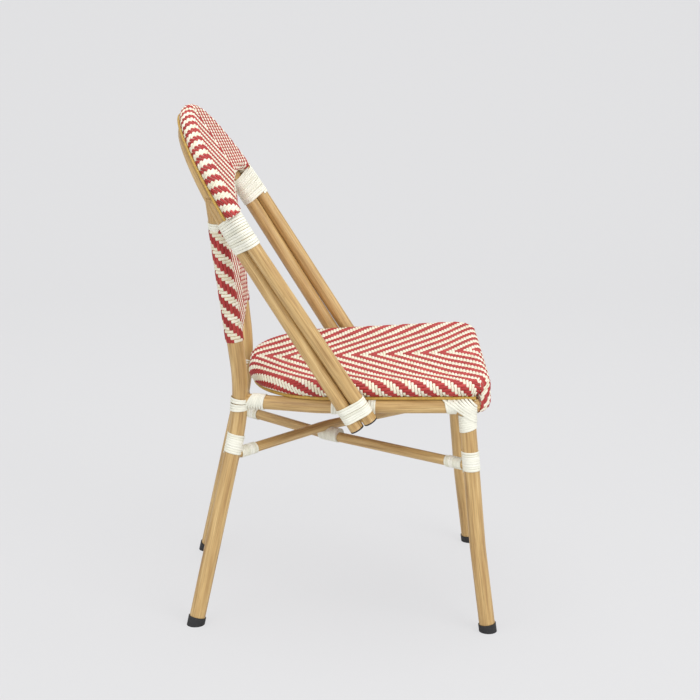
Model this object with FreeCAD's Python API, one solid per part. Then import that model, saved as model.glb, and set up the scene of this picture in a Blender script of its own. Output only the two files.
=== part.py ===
import FreeCAD, Part
import math
import os

Vector = FreeCAD.Vector

# A stacking bistro chair: bamboo-look aluminium tubes, a woven seat, a woven neck panel between
# the stiles and a woven arch, with strap windings over every joint.
# X points to the sitter's left, the front faces -Y, Z is up, the origin is on the floor.

# Tubes
leg_diameter = 28.0
hoop_diameter = 25.0
rail_diameter = 25.0
ring_diameter = 25.0
bar_diameter = 19.0
stretcher_diameter = 18.0
tube_wall = 1.6

# Feet and legs: half spacing across, place along Y and height of each bend
foot_half_depth = 259.0
rear_foot_half_width = 179.0
rear_bend_half_width = 120.0
rear_bend_y = 170.0
rear_bend_below_ring = 42.0
rear_bend_radius = 320.0
stile_top_half_width = 185.0
stile_top_y = 213.0
front_foot_half_width = 216.0
front_bend_half_width = 205.0
front_bend_y = -239.0
front_bend_height = 155.0
front_bend_radius = 400.0
front_top_y = -216.0

# Foot caps
cap_wall = 1.7
cap_height = 14.0
cap_floor = 3.0

# The two hoops of the back. Each lies in a plane that leans back by its own angle and is placed by
# its point at the hoops' level, which lies below the stiles' tops. The arms end below the seat ring
hoops_below_stile = 78.0
front_hoop_y = 145.1
front_hoop_lean = 32.2
front_arch_radius = 226.0
front_arch_centre = -4.0
front_arm_below_ring = 54.0
rear_hoop_y = 170.3
rear_hoop_lean = 31.4
rear_arch_radius = 211.0
rear_arch_centre = -22.0
rear_arm_below_ring = 68.0
plug_flange = 2.5
plug_stem = 12.0

# Seat, built level about its own plane and then tipped back about the ring's front edge
seat_pitch = 1.5
seat_front_y = -245.0
seat_front_half_width = 196.0
seat_front_corner = 30.0
seat_bend_y = 19.0
seat_bend_half_width = 171.5
seat_rear_y = 149.0
seat_rear_corner = 138.0
ring_height = 442.0
rail_drop = 32.0
rail_turn_y = 38.0
rail_turn_radius = 135.0
flap_depth = 13.0
flap_behind_rim = 0.4
trim_diameter = 5.2
trim_outset = 4.0
trim_front_y = -231.0

# Weave: one layer of strand and the sheet of two crossing layers
strand_thickness = 1.4
sheet_thickness = 2.8
seat_dish = 4.0

# Neck panel between the stiles, which end above it
neck_above_ring = 70.0
neck_length = 207.0
stile_above_neck = 56.0
neck_bar_diameter = 25.0

# Arch panel
panel_start = 62.0
panel_rise = 22.0
panel_bar_inset = 12.0
panel_behind_rim = 0.4
panel_bar_behind_rim = 0.8
arch_trim_diameter = 5.0
arch_trim_bearing = 150.0
arch_trim_clearance = 0.2

# Stretchers, crossing under the seat, one bowed up and one down where they cross
stretcher_rear_below_ring = 139.0
stretcher_front_below_ring = 140.0
crossing_rise = 10.6
crossing_dip = 7.8
crossing_radius = 300.0

# Windings: flat strand, stood for by a round cord that is wound without a break
cord_diameter = 2.6
cord_pitch = 4.4
cord_clearance = 0.3
least_gap = 0.4
upper_binding_along = 31.0
upper_binding_turns = 13
lower_binding_inset = 32.0
lower_binding_turns = 6
loop_spacing = 37.0
loop_turns = 3
rear_sleeve_turns = 4
rear_band_below_ring = 71.0
rear_band_turns = 5
front_sleeve_turns = 5
front_band_turns = 7
stretcher_sleeve_turns = 7
stretcher_band_turns = 5
crossing_turns = 3
crossing_clearance = 9.0
neck_ring_turns = 2
turn_worth_an_arc = 0.01
points_per_edge = 5
halvings = 30

# One overrun serves every cut
overrun = 40.0

# Heights that follow the ring: the neck panel, the stiles, the hoops and the stretchers
rear_bend_height = ring_height - rear_bend_below_ring
neck_bottom_height = ring_height + neck_above_ring
neck_top_height = neck_bottom_height + neck_length
stile_top_height = neck_top_height + stile_above_neck
hoop_level = stile_top_height - hoops_below_stile
stretcher_rear_height = ring_height - stretcher_rear_below_ring
stretcher_front_height = ring_height - stretcher_front_below_ring
rear_band_height = ring_height - rear_band_below_ring


def radius_of(diameter):
    """Half of a diameter."""
    return diameter / 2


def sin_deg(angle):
    """Sine of an angle in degrees."""
    return math.sin(math.radians(angle))


def cos_deg(angle):
    """Cosine of an angle in degrees."""
    return math.cos(math.radians(angle))


def unit(vector):
    """The same direction at length one."""
    return vector * (1 / vector.Length)


def mirrored(shape):
    """The shape on the other side of the middle plane."""
    return shape.mirror(Vector(0, 0, 0), Vector(1, 0, 0))


def largest(shape):
    """The biggest solid of a cut."""
    return max(shape.Solids, key=lambda solid: solid.Volume)


def joined(shapes):
    """One solid from several that overlap."""
    return shapes[0].fuse(shapes[1:]).removeSplitter()


def arc_through(start, corner, end):
    """The arc that touches start-corner and corner-end, which are equally long."""
    middle = (start + end) * 0.5
    rise = corner - middle
    half_chord = (end - start).Length / 2
    half_turn = math.atan2(rise.Length, half_chord)
    crown = middle + unit(rise) * (half_chord * math.tan(half_turn / 2))
    return Part.Arc(start, crown, end).toShape()


def rounded_path(points, radii):
    """Straight runs through the points, each inner corner rounded by its radius."""
    edges = []
    last = points[0]
    for index, radius in enumerate(radii):
        corner = points[index + 1]
        to_last = unit(points[index] - corner)
        to_next = unit(points[index + 2] - corner)
        turn = math.pi - to_last.getAngle(to_next)
        reach = radius * math.tan(turn / 2)
        entry = corner + to_last * reach
        leave = corner + to_next * reach
        edges.append(Part.LineSegment(last, entry).toShape())
        edges.append(arc_through(entry, corner, leave))
        last = leave
    edges.append(Part.LineSegment(last, points[-1]).toShape())
    return Part.Wire(edges)


def swept(path, radius):
    """A round bar along a path."""
    first = path.OrderedEdges[0]
    start = first.valueAt(first.FirstParameter)
    along = first.tangentAt(first.FirstParameter)
    if path.OrderedEdges[0].Orientation == "Reversed":
        start = first.valueAt(first.LastParameter)
        along = first.tangentAt(first.LastParameter) * -1
    profile = Part.Wire(Part.Circle(start, along, radius).toShape())
    return path.makePipeShell([profile], True, False)


def tube(path, diameter):
    """A hollow tube along a path."""
    outer = swept(path, radius_of(diameter))
    inner = swept(path, radius_of(diameter) - tube_wall)
    return outer.cut(inner)


def rod(start, end, radius):
    """A straight round bar between two points."""
    return Part.makeCylinder(radius, (end - start).Length, start, end - start)


def straight_tube(start, end, diameter):
    """A straight hollow tube between two points."""
    outer = rod(start, end, radius_of(diameter))
    return outer.cut(rod(start, end, radius_of(diameter) - tube_wall))


def seat_half_width(y):
    """Half the seat frame's width beside the front part of the seat."""
    slope = (seat_front_half_width - seat_bend_half_width) / (seat_bend_y - seat_front_y)
    return seat_front_half_width - slope * (y - seat_front_y)


class Hoop:
    """A planar hoop: two arms that touch an arch, on a plane that leans back."""

    def __init__(self, origin_y, lean, arch_radius, arch_centre, arm_half_width, arm_end):
        self.up = Vector(0, sin_deg(lean), cos_deg(lean))
        self.front = Vector(0, -cos_deg(lean), sin_deg(lean))
        self.origin = Vector(0, origin_y, hoop_level)
        self.radius = arch_radius
        self.centre = arch_centre
        self.end = arm_end
        reach = math.hypot(arm_half_width, arm_end - arch_centre)
        bearing = math.atan2(arm_end - arch_centre, arm_half_width)
        self.touch = bearing + math.acos(arch_radius / reach)
        self.end_half_width = arm_half_width

    def at(self, across, along, forward=0):
        """A point from its place across, up the plane and in front of it."""
        return self.origin + Vector(across, 0, 0) + self.up * along + self.front * forward

    def on_arch(self, angle, outward=0, forward=0):
        """A point of the arch, with the angle measured up from the +X side."""
        size = self.radius + outward
        return self.at(size * math.cos(angle), self.centre + size * math.sin(angle), forward)

    def half_width(self, along):
        """Half the hoop's width at a place up its plane."""
        if along > self.centre + self.radius * math.sin(self.touch):
            return math.sqrt(max(self.radius ** 2 - (along - self.centre) ** 2, 0))
        touch_along = self.centre + self.radius * math.sin(self.touch)
        touch_width = self.radius * math.cos(self.touch)
        share = (along - self.end) / (touch_along - self.end)
        return self.end_half_width + (touch_width - self.end_half_width) * share

    def path(self):
        """Arm, arch and arm as one wire."""
        left_end = self.at(self.end_half_width, self.end)
        right_end = self.at(-self.end_half_width, self.end)
        left = self.on_arch(self.touch)
        right = self.on_arch(math.pi - self.touch)
        arch = Part.Arc(left, self.on_arch(math.pi / 2), right).toShape()
        first = Part.LineSegment(left_end, left).toShape()
        last = Part.LineSegment(right, right_end).toShape()
        return Part.Wire([first, arch, last])


def arm_end_along(lean, below_ring):
    """How far up its plane a hoop's arm ends: below zero, because it ends under the seat ring."""
    return (ring_height - below_ring - hoop_level) / cos_deg(lean)


def arms_half_width():
    """Half the arms' spacing: beside the rail, with a cord on each between them."""
    drop = hoop_level - ring_height + rail_drop
    beside = (front_hoop_y + rear_hoop_y) / 2 - drop * math.tan(math.radians(front_hoop_lean))
    cords = 2 * (cord_clearance + cord_diameter) + cord_clearance
    return seat_half_width(beside) + radius_of(rail_diameter) + cords + radius_of(hoop_diameter)


front_arm_end = arm_end_along(front_hoop_lean, front_arm_below_ring)
rear_arm_end = arm_end_along(rear_hoop_lean, rear_arm_below_ring)
front_hoop = Hoop(front_hoop_y, front_hoop_lean, front_arch_radius, front_arch_centre,
                  arms_half_width(), front_arm_end)
rear_hoop = Hoop(rear_hoop_y, rear_hoop_lean, rear_arch_radius, rear_arch_centre,
                 arms_half_width(), rear_arm_end)


def biarc(start, start_way, end, end_way):
    """Two arcs that leave and arrive along the given ways."""
    across = end - start
    both = start_way + end_way
    spread = 2 * (1 - start_way.dot(end_way))
    lean = across.dot(both)
    reach = (math.sqrt(lean ** 2 + spread * across.dot(across)) - lean) / spread
    first = start + start_way * reach
    second = end - end_way * reach
    meet = (first + second) * 0.5
    return [arc_through(start, first, meet), arc_through(meet, second, end)]


class Grip:
    """Where a cord is wound: a middle line, its way, the way across to the lobes and their half gap."""

    def __init__(self, centre, axis, across=None, half_gap=0):
        self.centre = centre
        self.axis = unit(axis)
        if across is None:
            across = Vector(1, 0, 0) if abs(self.axis.x) < abs(self.axis.z) else Vector(0, 0, 1)
        self.across = unit(across - self.axis * across.dot(self.axis))
        self.half_gap = half_gap


def winding_stations(grip_at, reach, turns):
    """Places and ways of a cord wound round one bar, or round two where there is a half gap."""
    corners = [(1, -1, 0, 0), (1, 0, 1, 1), (1, 1, 0, 2), (-1, 1, 0, 2), (-1, 0, -1, 3), (-1, -1, 0, 4)]
    ways = [(1, 0), (0, 1), (-1, 0), (-1, 0), (0, -1), (1, 0)]
    quarter = math.pi * reach / 2
    stations = []
    for turn in range(turns):
        for (lobe, sideways, outward, quarters), (way_across, way_side) in zip(corners, ways):
            gap = grip_at(0).half_gap
            if gap == 0 and lobe < 0 and outward == 0:
                continue
            loop = 4 * (quarter + gap)
            run = quarters * quarter + (2 * gap if lobe < 0 else 0)
            grip = grip_at(cord_pitch * (turn + run / loop - turns / 2))
            side = grip.axis.cross(grip.across)
            place = grip.centre + grip.across * (lobe * grip.half_gap + outward * reach)
            place = place + side * (sideways * reach)
            way = grip.across * way_across + side * way_side
            stations.append((place, unit(way + grip.axis * (cord_pitch / loop))))
    return stations


def wound(name, grip_at, diameter, turns):
    """A cord wound round bars of a diameter, as one unbroken tube with short straight ends."""
    reach = radius_of(diameter) + cord_clearance + radius_of(cord_diameter)
    stations = winding_stations(grip_at, reach, turns)
    first_place, first_way = stations[0]
    last_place, last_way = stations[-1]
    edges = [Part.LineSegment(first_place - first_way * cord_diameter, first_place).toShape()]
    for (place, way), (next_place, next_way) in zip(stations, stations[1:]):
        if way.getAngle(next_way) < math.radians(turn_worth_an_arc):
            edges.append(Part.LineSegment(place, next_place).toShape())
        else:
            edges.extend(biarc(place, way, next_place, next_way))
    edges.append(Part.LineSegment(last_place, last_place + last_way * cord_diameter).toShape())
    cord = swept(Part.Wire(edges), radius_of(cord_diameter))
    print_gap(name, edges, cord)
    return cord


def print_gap(name, edges, cord):
    """Print a winding's least gap to itself and its volume against section times length."""
    points = []
    run = 0
    for edge in edges:
        for step in range(points_per_edge):
            share = step / points_per_edge
            parameter = edge.FirstParameter + (edge.LastParameter - edge.FirstParameter) * share
            points.append((run + edge.Length * share, edge.valueAt(parameter)))
        run += edge.Length
    apart = 6 * cord_diameter
    least = min((a[1] - b[1]).Length for i, a in enumerate(points) for b in points[i + 1:]
                if b[0] - a[0] > apart)
    section = math.pi * radius_of(cord_diameter) ** 2
    share = cord.Volume / (section * run)
    print(name, "least gap", round(least - cord_diameter, 2), "wanted", least_gap,
          "volume share", round(share, 3))


# Seat outline, level, seen from above

def seat_plane(shape):
    """Tip a level seat piece back about the ring's front edge."""
    tipped = shape.copy()
    tipped.rotate(Vector(0, seat_front_y, ring_height), Vector(1, 0, 0), -seat_pitch)
    return tipped


def rail_height(y):
    """The height of the seat rail's middle at a place along Y."""
    return ring_height - rail_drop - (y - seat_front_y) * math.tan(math.radians(seat_pitch))


def ring_path(height, outward=0):
    """The closed outline of the seat ring, moved outward and set at a height."""
    front = seat_front_y - outward
    rear = seat_rear_y + outward
    points = [Vector(seat_half_width(front) + outward, front, height),
              Vector(seat_half_width(rear) + outward, rear, height)]
    points += [Vector(-point.x, point.y, height) for point in reversed(points)]
    start = Vector(0, front, height)
    rear_corner = seat_rear_corner + outward
    front_corner = seat_front_corner + outward
    radii = [front_corner, rear_corner, rear_corner, front_corner]
    return rounded_path([start] + points + [start], radii)


def rail_path(height):
    """The rail under the ring: across the front, along both sides and in to the rear legs."""
    path = leg_path(rear_leg_points(), rear_bend_radius)
    leg = path_grip(path, run_to(path, rail_height(rear_bend_y)))(0).centre
    points = [Vector(leg.x, leg.y, height), Vector(seat_half_width(rail_turn_y), rail_turn_y, height),
              Vector(seat_half_width(seat_front_y), seat_front_y, height)]
    points += [Vector(-point.x, point.y, height) for point in reversed(points)]
    radii = [rail_turn_radius, seat_front_corner, seat_front_corner, rail_turn_radius]
    return rounded_path(points, radii)


# Legs

def rear_leg_points():
    """Foot, bend and top of the left rear leg's middle line."""
    foot = Vector(rear_foot_half_width, foot_half_depth, 0)
    bend = Vector(rear_bend_half_width, rear_bend_y, rear_bend_height)
    top = Vector(stile_top_half_width, stile_top_y, stile_top_height)
    return [foot, bend, top]


def front_leg_points():
    """Foot, bend and top of the left front leg's middle line, the top in the seat rail."""
    foot = Vector(front_foot_half_width, -foot_half_depth, 0)
    bend = Vector(front_bend_half_width, front_bend_y, front_bend_height)
    top = Vector(seat_half_width(front_top_y), front_top_y, rail_height(front_top_y))
    return [foot, bend, top]


def at_height(lower, upper, height):
    """The point of a line at a height."""
    share = (height - lower.z) / (upper.z - lower.z)
    return lower + (upper - lower) * share


def above(height):
    """A block that holds everything above a height."""
    size = 2 * (foot_half_depth + leg_diameter + overrun)
    tall = stile_top_height + size
    return Part.makeBox(size, size, tall, Vector(-size / 2, -size / 2, height))


def leg_path(points, bend_radius):
    """A leg's middle line, started below the floor."""
    foot, bend, top = points
    return rounded_path([at_height(foot, bend, -overrun), bend, top], [bend_radius])


def leg_tube(path):
    """A leg's tube and its full bar, cut level on the foot cap's floor."""
    outer = swept(path, radius_of(leg_diameter)).common(above(cap_floor))
    bore = swept(path, radius_of(leg_diameter) - tube_wall)
    return outer.cut(bore), outer


def foot_cap(points):
    """A moulded cap, level under the foot, with a wall round the leg."""
    foot, bend, top = points
    below = at_height(foot, bend, -overrun)
    cup = rod(below, at_height(foot, bend, cap_height), radius_of(leg_diameter) + cap_wall)
    bore = rod(below, at_height(foot, bend, cap_height + overrun), radius_of(leg_diameter))
    return cup.common(above(0)).cut(bore.common(above(cap_floor)))


# Woven seat

def flap_zone():
    """The block that the front flap lies in."""
    wide = 2 * (seat_front_half_width + ring_diameter + overrun)
    front = seat_front_y - ring_diameter - overrun
    rear = seat_front_y + flap_depth
    return Part.makeBox(wide, rear - front, ring_height + overrun, Vector(-wide / 2, front, 0))


def seat_weave():
    """Woven top on the ring, dished a little, with a flap down its front round the rail."""
    skin = radius_of(ring_diameter) + strand_thickness
    sleeve = swept(ring_path(ring_height), skin)
    sheet = Part.Face(ring_path(ring_height + skin - sheet_thickness - seat_dish))
    sheet = sheet.extrude(Vector(0, 0, sheet_thickness))
    low = ring_height - rail_drop
    web = Part.Face(ring_path(low, skin - flap_behind_rim)).extrude(Vector(0, 0, rail_drop))
    inside = Part.Face(ring_path(low - overrun, -skin)).extrude(Vector(0, 0, rail_drop + 2 * overrun))
    web = web.cut(inside).common(flap_zone())
    hem = swept(rail_path(low), radius_of(rail_diameter) + strand_thickness).common(flap_zone())
    woven = joined([sleeve, sheet, web, hem])
    woven = woven.cut(swept(ring_path(ring_height), radius_of(ring_diameter)))
    return largest(woven.cut(swept(rail_path(low), radius_of(rail_diameter))))


def seat_trim(weave_solid, rail_solid):
    """The slim trim that lies in the groove between the seat's weave and the rail."""
    weave_reach = radius_of(ring_diameter) + strand_thickness
    share = radius_of(rail_diameter) / (radius_of(rail_diameter) + weave_reach)
    trim = swept(ring_path(ring_height - rail_drop * (1 - share), trim_outset), radius_of(trim_diameter))
    wide = 2 * (seat_front_half_width + ring_diameter + overrun)
    zone = Part.makeBox(wide, seat_rear_y - trim_front_y + overrun, ring_height,
                        Vector(-wide / 2, trim_front_y, 0))
    trim = seat_plane(largest(trim.common(zone))).cut(weave_solid).cut(rail_solid)
    loops, rear, front = rail_grips()
    for grip, turns in loops + [rear, front]:
        room = room_round(grip, rail_diameter, turns)
        trim = trim.cut(room).cut(mirrored(room))
    return trim


# Neck panel

def neck_axis(height):
    """The left stile's middle at a height."""
    foot, bend, top = rear_leg_points()
    return at_height(bend, top, height)


def neck_bar_ends(height):
    """The ends of the bar between the stiles at a height."""
    place = neck_axis(height)
    return place, Vector(-place.x, place.y, place.z)


def neck_weave(stiles, bars):
    """A closed woven sleeve round both stiles and both bars."""
    skin = radius_of(neck_bar_diameter) + strand_thickness
    sleeve = radius_of(leg_diameter) + strand_thickness
    low = neck_axis(neck_bottom_height)
    high = neck_axis(neck_top_height)
    low_bar = neck_axis(neck_bottom_height + skin)
    high_bar = neck_axis(neck_top_height - skin)
    rise = unit(Vector(0, high.y - low.y, high.z - low.z))
    facing = Vector(0, -rise.z, rise.y)
    corners = [low_bar, high_bar, Vector(-high_bar.x, high_bar.y, high_bar.z),
               Vector(-low_bar.x, low_bar.y, low_bar.z)]
    sheet = Part.Face(Part.makePolygon(corners + [corners[0]]))
    slab = sheet.copy()
    slab.translate(facing * -skin)
    slab = slab.extrude(facing * (2 * skin))
    hollow = sheet.copy()
    hollow.translate(facing * (sheet_thickness - skin))
    hollow = hollow.extrude(facing * (2 * (skin - sheet_thickness)))
    sleeves = [rod(low, high, sleeve), mirrored(rod(low, high, sleeve))]
    hems = [rod(end, Vector(-end.x, end.y, end.z), skin) for end in (low_bar, high_bar)]
    woven = joined([slab] + sleeves + hems).cut(hollow)
    for piece in stiles + bars:
        woven = woven.cut(piece)
    return largest(woven)


# Arch panel

def panel_bar_path():
    """The bent bar at the foot of the arch panel, a little behind the front of the hoop's tube."""
    level = panel_start + panel_bar_inset
    half = front_hoop.half_width(level)
    forward = radius_of(hoop_diameter) - radius_of(bar_diameter) - panel_bar_behind_rim
    return Part.Wire(Part.Arc(front_hoop.at(half, level, forward),
                              front_hoop.at(0, level + panel_rise, forward),
                              front_hoop.at(-half, level, forward)).toShape())


def arch_start(radius, centre):
    """The angle at which an arch passes the panel's foot."""
    return math.asin((panel_start - centre) / radius)


def arch_weave(neighbours):
    """Woven sheet across the arch, just behind the crown of the woven sleeve round its tube."""
    skin = radius_of(hoop_diameter) + strand_thickness
    start = arch_start(front_arch_radius, front_arch_centre)
    arch = Part.Arc(front_hoop.on_arch(start), front_hoop.on_arch(math.pi / 2),
                    front_hoop.on_arch(math.pi - start)).toShape()
    sleeve = swept(Part.Wire(arch), skin)
    crown = front_hoop.at(0, panel_start + panel_rise)
    foot_edge = Part.Arc(front_hoop.on_arch(math.pi - start), crown, front_hoop.on_arch(start)).toShape()
    sheet = Part.Face(Part.Wire([arch, foot_edge]))
    sheet.translate(front_hoop.front * (skin - sheet_thickness - panel_behind_rim))
    sheet = sheet.extrude(front_hoop.front * sheet_thickness)
    hem = swept(panel_bar_path(), radius_of(bar_diameter) + strand_thickness)
    woven = joined([sleeve, sheet, hem])
    for piece in neighbours:
        woven = woven.cut(piece)
    return largest(woven)


def arch_trim(neighbours):
    """The slim trim along the rear edge of the arch's weave, turned round the tube by its bearing."""
    reach = radius_of(hoop_diameter) + strand_thickness + arch_trim_clearance + radius_of(arch_trim_diameter)
    outward = reach * sin_deg(arch_trim_bearing)
    forward = reach * cos_deg(arch_trim_bearing)
    start = arch_start(front_arch_radius + outward, front_arch_centre)
    points = [front_hoop.on_arch(angle, outward, forward) for angle in (start, math.pi / 2, math.pi - start)]
    trim = swept(Part.Wire(Part.Arc(*points).toShape()), radius_of(arch_trim_diameter))
    for piece in neighbours:
        trim = trim.cut(piece)
    return largest(trim)


def hoop_plug(hoop):
    """The plug in the left arm's lower end."""
    end = hoop.at(hoop.end_half_width, hoop.end)
    way = unit(hoop.on_arch(hoop.touch) - end)
    flange = rod(end - way * plug_flange, end, radius_of(hoop_diameter))
    stem = rod(end, end + way * plug_stem, radius_of(hoop_diameter) - tube_wall)
    return flange.fuse(stem).removeSplitter()


# Stretchers

def stretcher_ends(side):
    """Leg points of the stretcher from the rear leg on one side to the front leg on the other."""
    foot, bend, top = rear_leg_points()
    rear = at_height(foot, bend, stretcher_rear_height)
    foot, bend, top = front_leg_points()
    front = at_height(bend, top, stretcher_front_height)
    return Vector(side * rear.x, rear.y, rear.z), Vector(-side * front.x, front.y, front.z)


def stretcher_points(side):
    """Rear end, crossing and front end of a stretcher: the left one is bowed down, the right one up."""
    rear, front = stretcher_ends(side)
    share = rear.x / (rear.x - front.x)
    rise = crossing_rise if side < 0 else -crossing_dip
    return [rear, rear + (front - rear) * share + Vector(0, 0, rise), front]


# Windings

def hoop_grip(along):
    """Both tubes of the left arm or arch at a place up the front hoop's plane."""
    def pair(place):
        front = front_hoop.at(front_hoop.half_width(place), place)
        rear_along = (front - rear_hoop.origin).dot(rear_hoop.up)
        return front, rear_hoop.at(rear_hoop.half_width(rear_along), rear_along)

    def grip_at(distance):
        front, rear = pair(along + distance)
        next_front, next_rear = pair(along + distance + cord_pitch)
        across = front - rear
        axis = (next_front + next_rear) - (front + rear)
        return Grip((front + rear) * 0.5, axis, across, across.Length / 2)

    return grip_at


def path_grip(path, distance):
    """One bar, gripped at a distance along its middle line."""
    def grip_at(offset):
        run = distance + offset
        for edge in path.OrderedEdges:
            if run < edge.Length:
                break
            run -= edge.Length
        parameter = edge.getParameterByLength(run)
        return Grip(edge.valueAt(parameter), edge.tangentAt(parameter))

    return grip_at


def run_to(path, height):
    """How far along a rising middle line a height is reached."""
    low = 0
    high = path.Length
    for halving in range(halvings):
        middle = (low + high) / 2
        if path_grip(path, middle)(0).centre.z < height:
            low = middle
        else:
            high = middle
    return low


def run_to_y(path, y):
    """How far along the rail, from its left end, a place along Y is reached on the left side."""
    low = 0
    high = path.Length / 2
    for halving in range(halvings):
        middle = (low + high) / 2
        if path_grip(path, middle)(0).centre.y > y:
            low = middle
        else:
            high = middle
    return low


def half_length(turns):
    """Half the length of bar that a winding covers."""
    return turns * cord_pitch / 2 + radius_of(cord_diameter)


def room_round(grip_at, diameter, turns):
    """The room that a winding takes on its bar, for what lies against it."""
    reach = half_length(turns) + cord_clearance
    size = radius_of(diameter) + cord_diameter + 2 * cord_clearance
    return rod(grip_at(-reach).centre, grip_at(reach).centre, size)


def both_sides(cords):
    """The cords of the left side and their mirror images, each side as one group."""
    return Part.makeCompound(cords), Part.makeCompound([mirrored(cord) for cord in cords])


def hoop_windings():
    """The long winding under the arch panel and the short one at the seat, left side."""
    upper = wound("hoop winding upper", hoop_grip(upper_binding_along), hoop_diameter, upper_binding_turns)
    lower = wound("hoop winding lower", hoop_grip(front_arm_end + lower_binding_inset),
                  hoop_diameter, lower_binding_turns)
    return upper, lower


def rail_grips():
    """Where cords are wound on the left of the rail: each grip with its turns."""
    path = seat_plane(rail_path(ring_height - rail_drop))
    arm_y = hoop_grip(front_arm_end + lower_binding_inset)(0).centre.y
    loops = [(path_grip(path, run_to_y(path, arm_y + side * loop_spacing)), loop_turns) for side in (1, -1)]
    at_leg = radius_of(leg_diameter) + half_length(rear_sleeve_turns) + cord_diameter
    rear = (path_grip(path, at_leg), rear_sleeve_turns)
    front_y = front_top_y + radius_of(leg_diameter) + half_length(front_sleeve_turns) + cord_clearance
    front = (path_grip(path, run_to_y(path, front_y)), front_sleeve_turns)
    return loops, rear, front


def stretcher_windings(side):
    """Sleeve and band at both ends of the stretchers that meet the legs on one side."""
    groups = {}
    rear_leg, front_leg = leg_paths()
    for name, path, height, owner in (("rear", rear_leg, stretcher_rear_height, side),
                                      ("front", front_leg, stretcher_front_height, -side)):
        rear, crossing, front = stretcher_points(owner)
        ends = [rear, crossing] if name == "rear" else [front, crossing]
        line = Part.Wire(Part.LineSegment(*ends).toShape())
        at_leg = radius_of(leg_diameter) + half_length(stretcher_sleeve_turns) + 2 * cord_diameter
        sleeve = wound(name + " stretcher sleeve", path_grip(line, at_leg),
                       stretcher_diameter, stretcher_sleeve_turns)
        above_bar = radius_of(stretcher_diameter) + half_length(stretcher_band_turns) + cord_diameter
        band = wound(name + " stretcher band", path_grip(path, run_to(path, height + above_bar)),
                     leg_diameter, stretcher_band_turns)
        if side < 0:
            band = mirrored(band)
        groups[name] = [sleeve, band]
    return groups


def leg_paths():
    """The left rear and left front legs' middle lines."""
    return leg_path(rear_leg_points(), rear_bend_radius), leg_path(front_leg_points(), front_bend_radius)


def windings():
    """Every winding, named."""
    groups = {}
    rear_leg, front_leg = leg_paths()
    upper, lower = hoop_windings()
    groups["hoop_winding_upper"] = [upper]
    groups["hoop_winding_lower"] = [lower]
    loops, rear, front = rail_grips()
    groups["rail_loops"] = [wound("rail loops", grip, rail_diameter, turns) for grip, turns in loops]
    sleeve = wound("rear rail sleeve", rear[0], rail_diameter, rear[1])
    band = wound("rear leg band", path_grip(rear_leg, run_to(rear_leg, rear_band_height)),
                 leg_diameter, rear_band_turns)
    groups["rear_joint_winding"] = [sleeve, band]
    sleeve = wound("front rail sleeve", front[0], rail_diameter, front[1])
    below_rail = radius_of(rail_diameter) + half_length(front_band_turns) + cord_diameter
    below = run_to(front_leg, rail_height(front_top_y) - below_rail)
    band = wound("front leg band", path_grip(front_leg, below), leg_diameter, front_band_turns)
    groups["front_joint_winding"] = [sleeve, band]
    above_weave = neck_top_height + half_length(neck_ring_turns) + cord_clearance
    groups["neck_ring"] = [wound("neck ring", path_grip(rear_leg, run_to(rear_leg, above_weave)),
                                 leg_diameter, neck_ring_turns)]
    named = {}
    for name, cords in groups.items():
        named[name + "_left"], named[name + "_right"] = both_sides(cords)
    for name, side in (("left", 1), ("right", -1)):
        for place, cords in stretcher_windings(side).items():
            named[place + "_stretcher_winding_" + name] = Part.makeCompound(cords)
    rear_end, crossing, front_end = stretcher_points(1)
    cords = []
    for end in (rear_end, front_end):
        line = Part.Wire(Part.LineSegment(crossing, end).toShape())
        grip = path_grip(line, crossing_clearance + half_length(crossing_turns))
        cords.append(wound("crossing", grip, stretcher_diameter, crossing_turns))
    named["crossing_winding"] = Part.makeCompound(cords)
    return named


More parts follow.
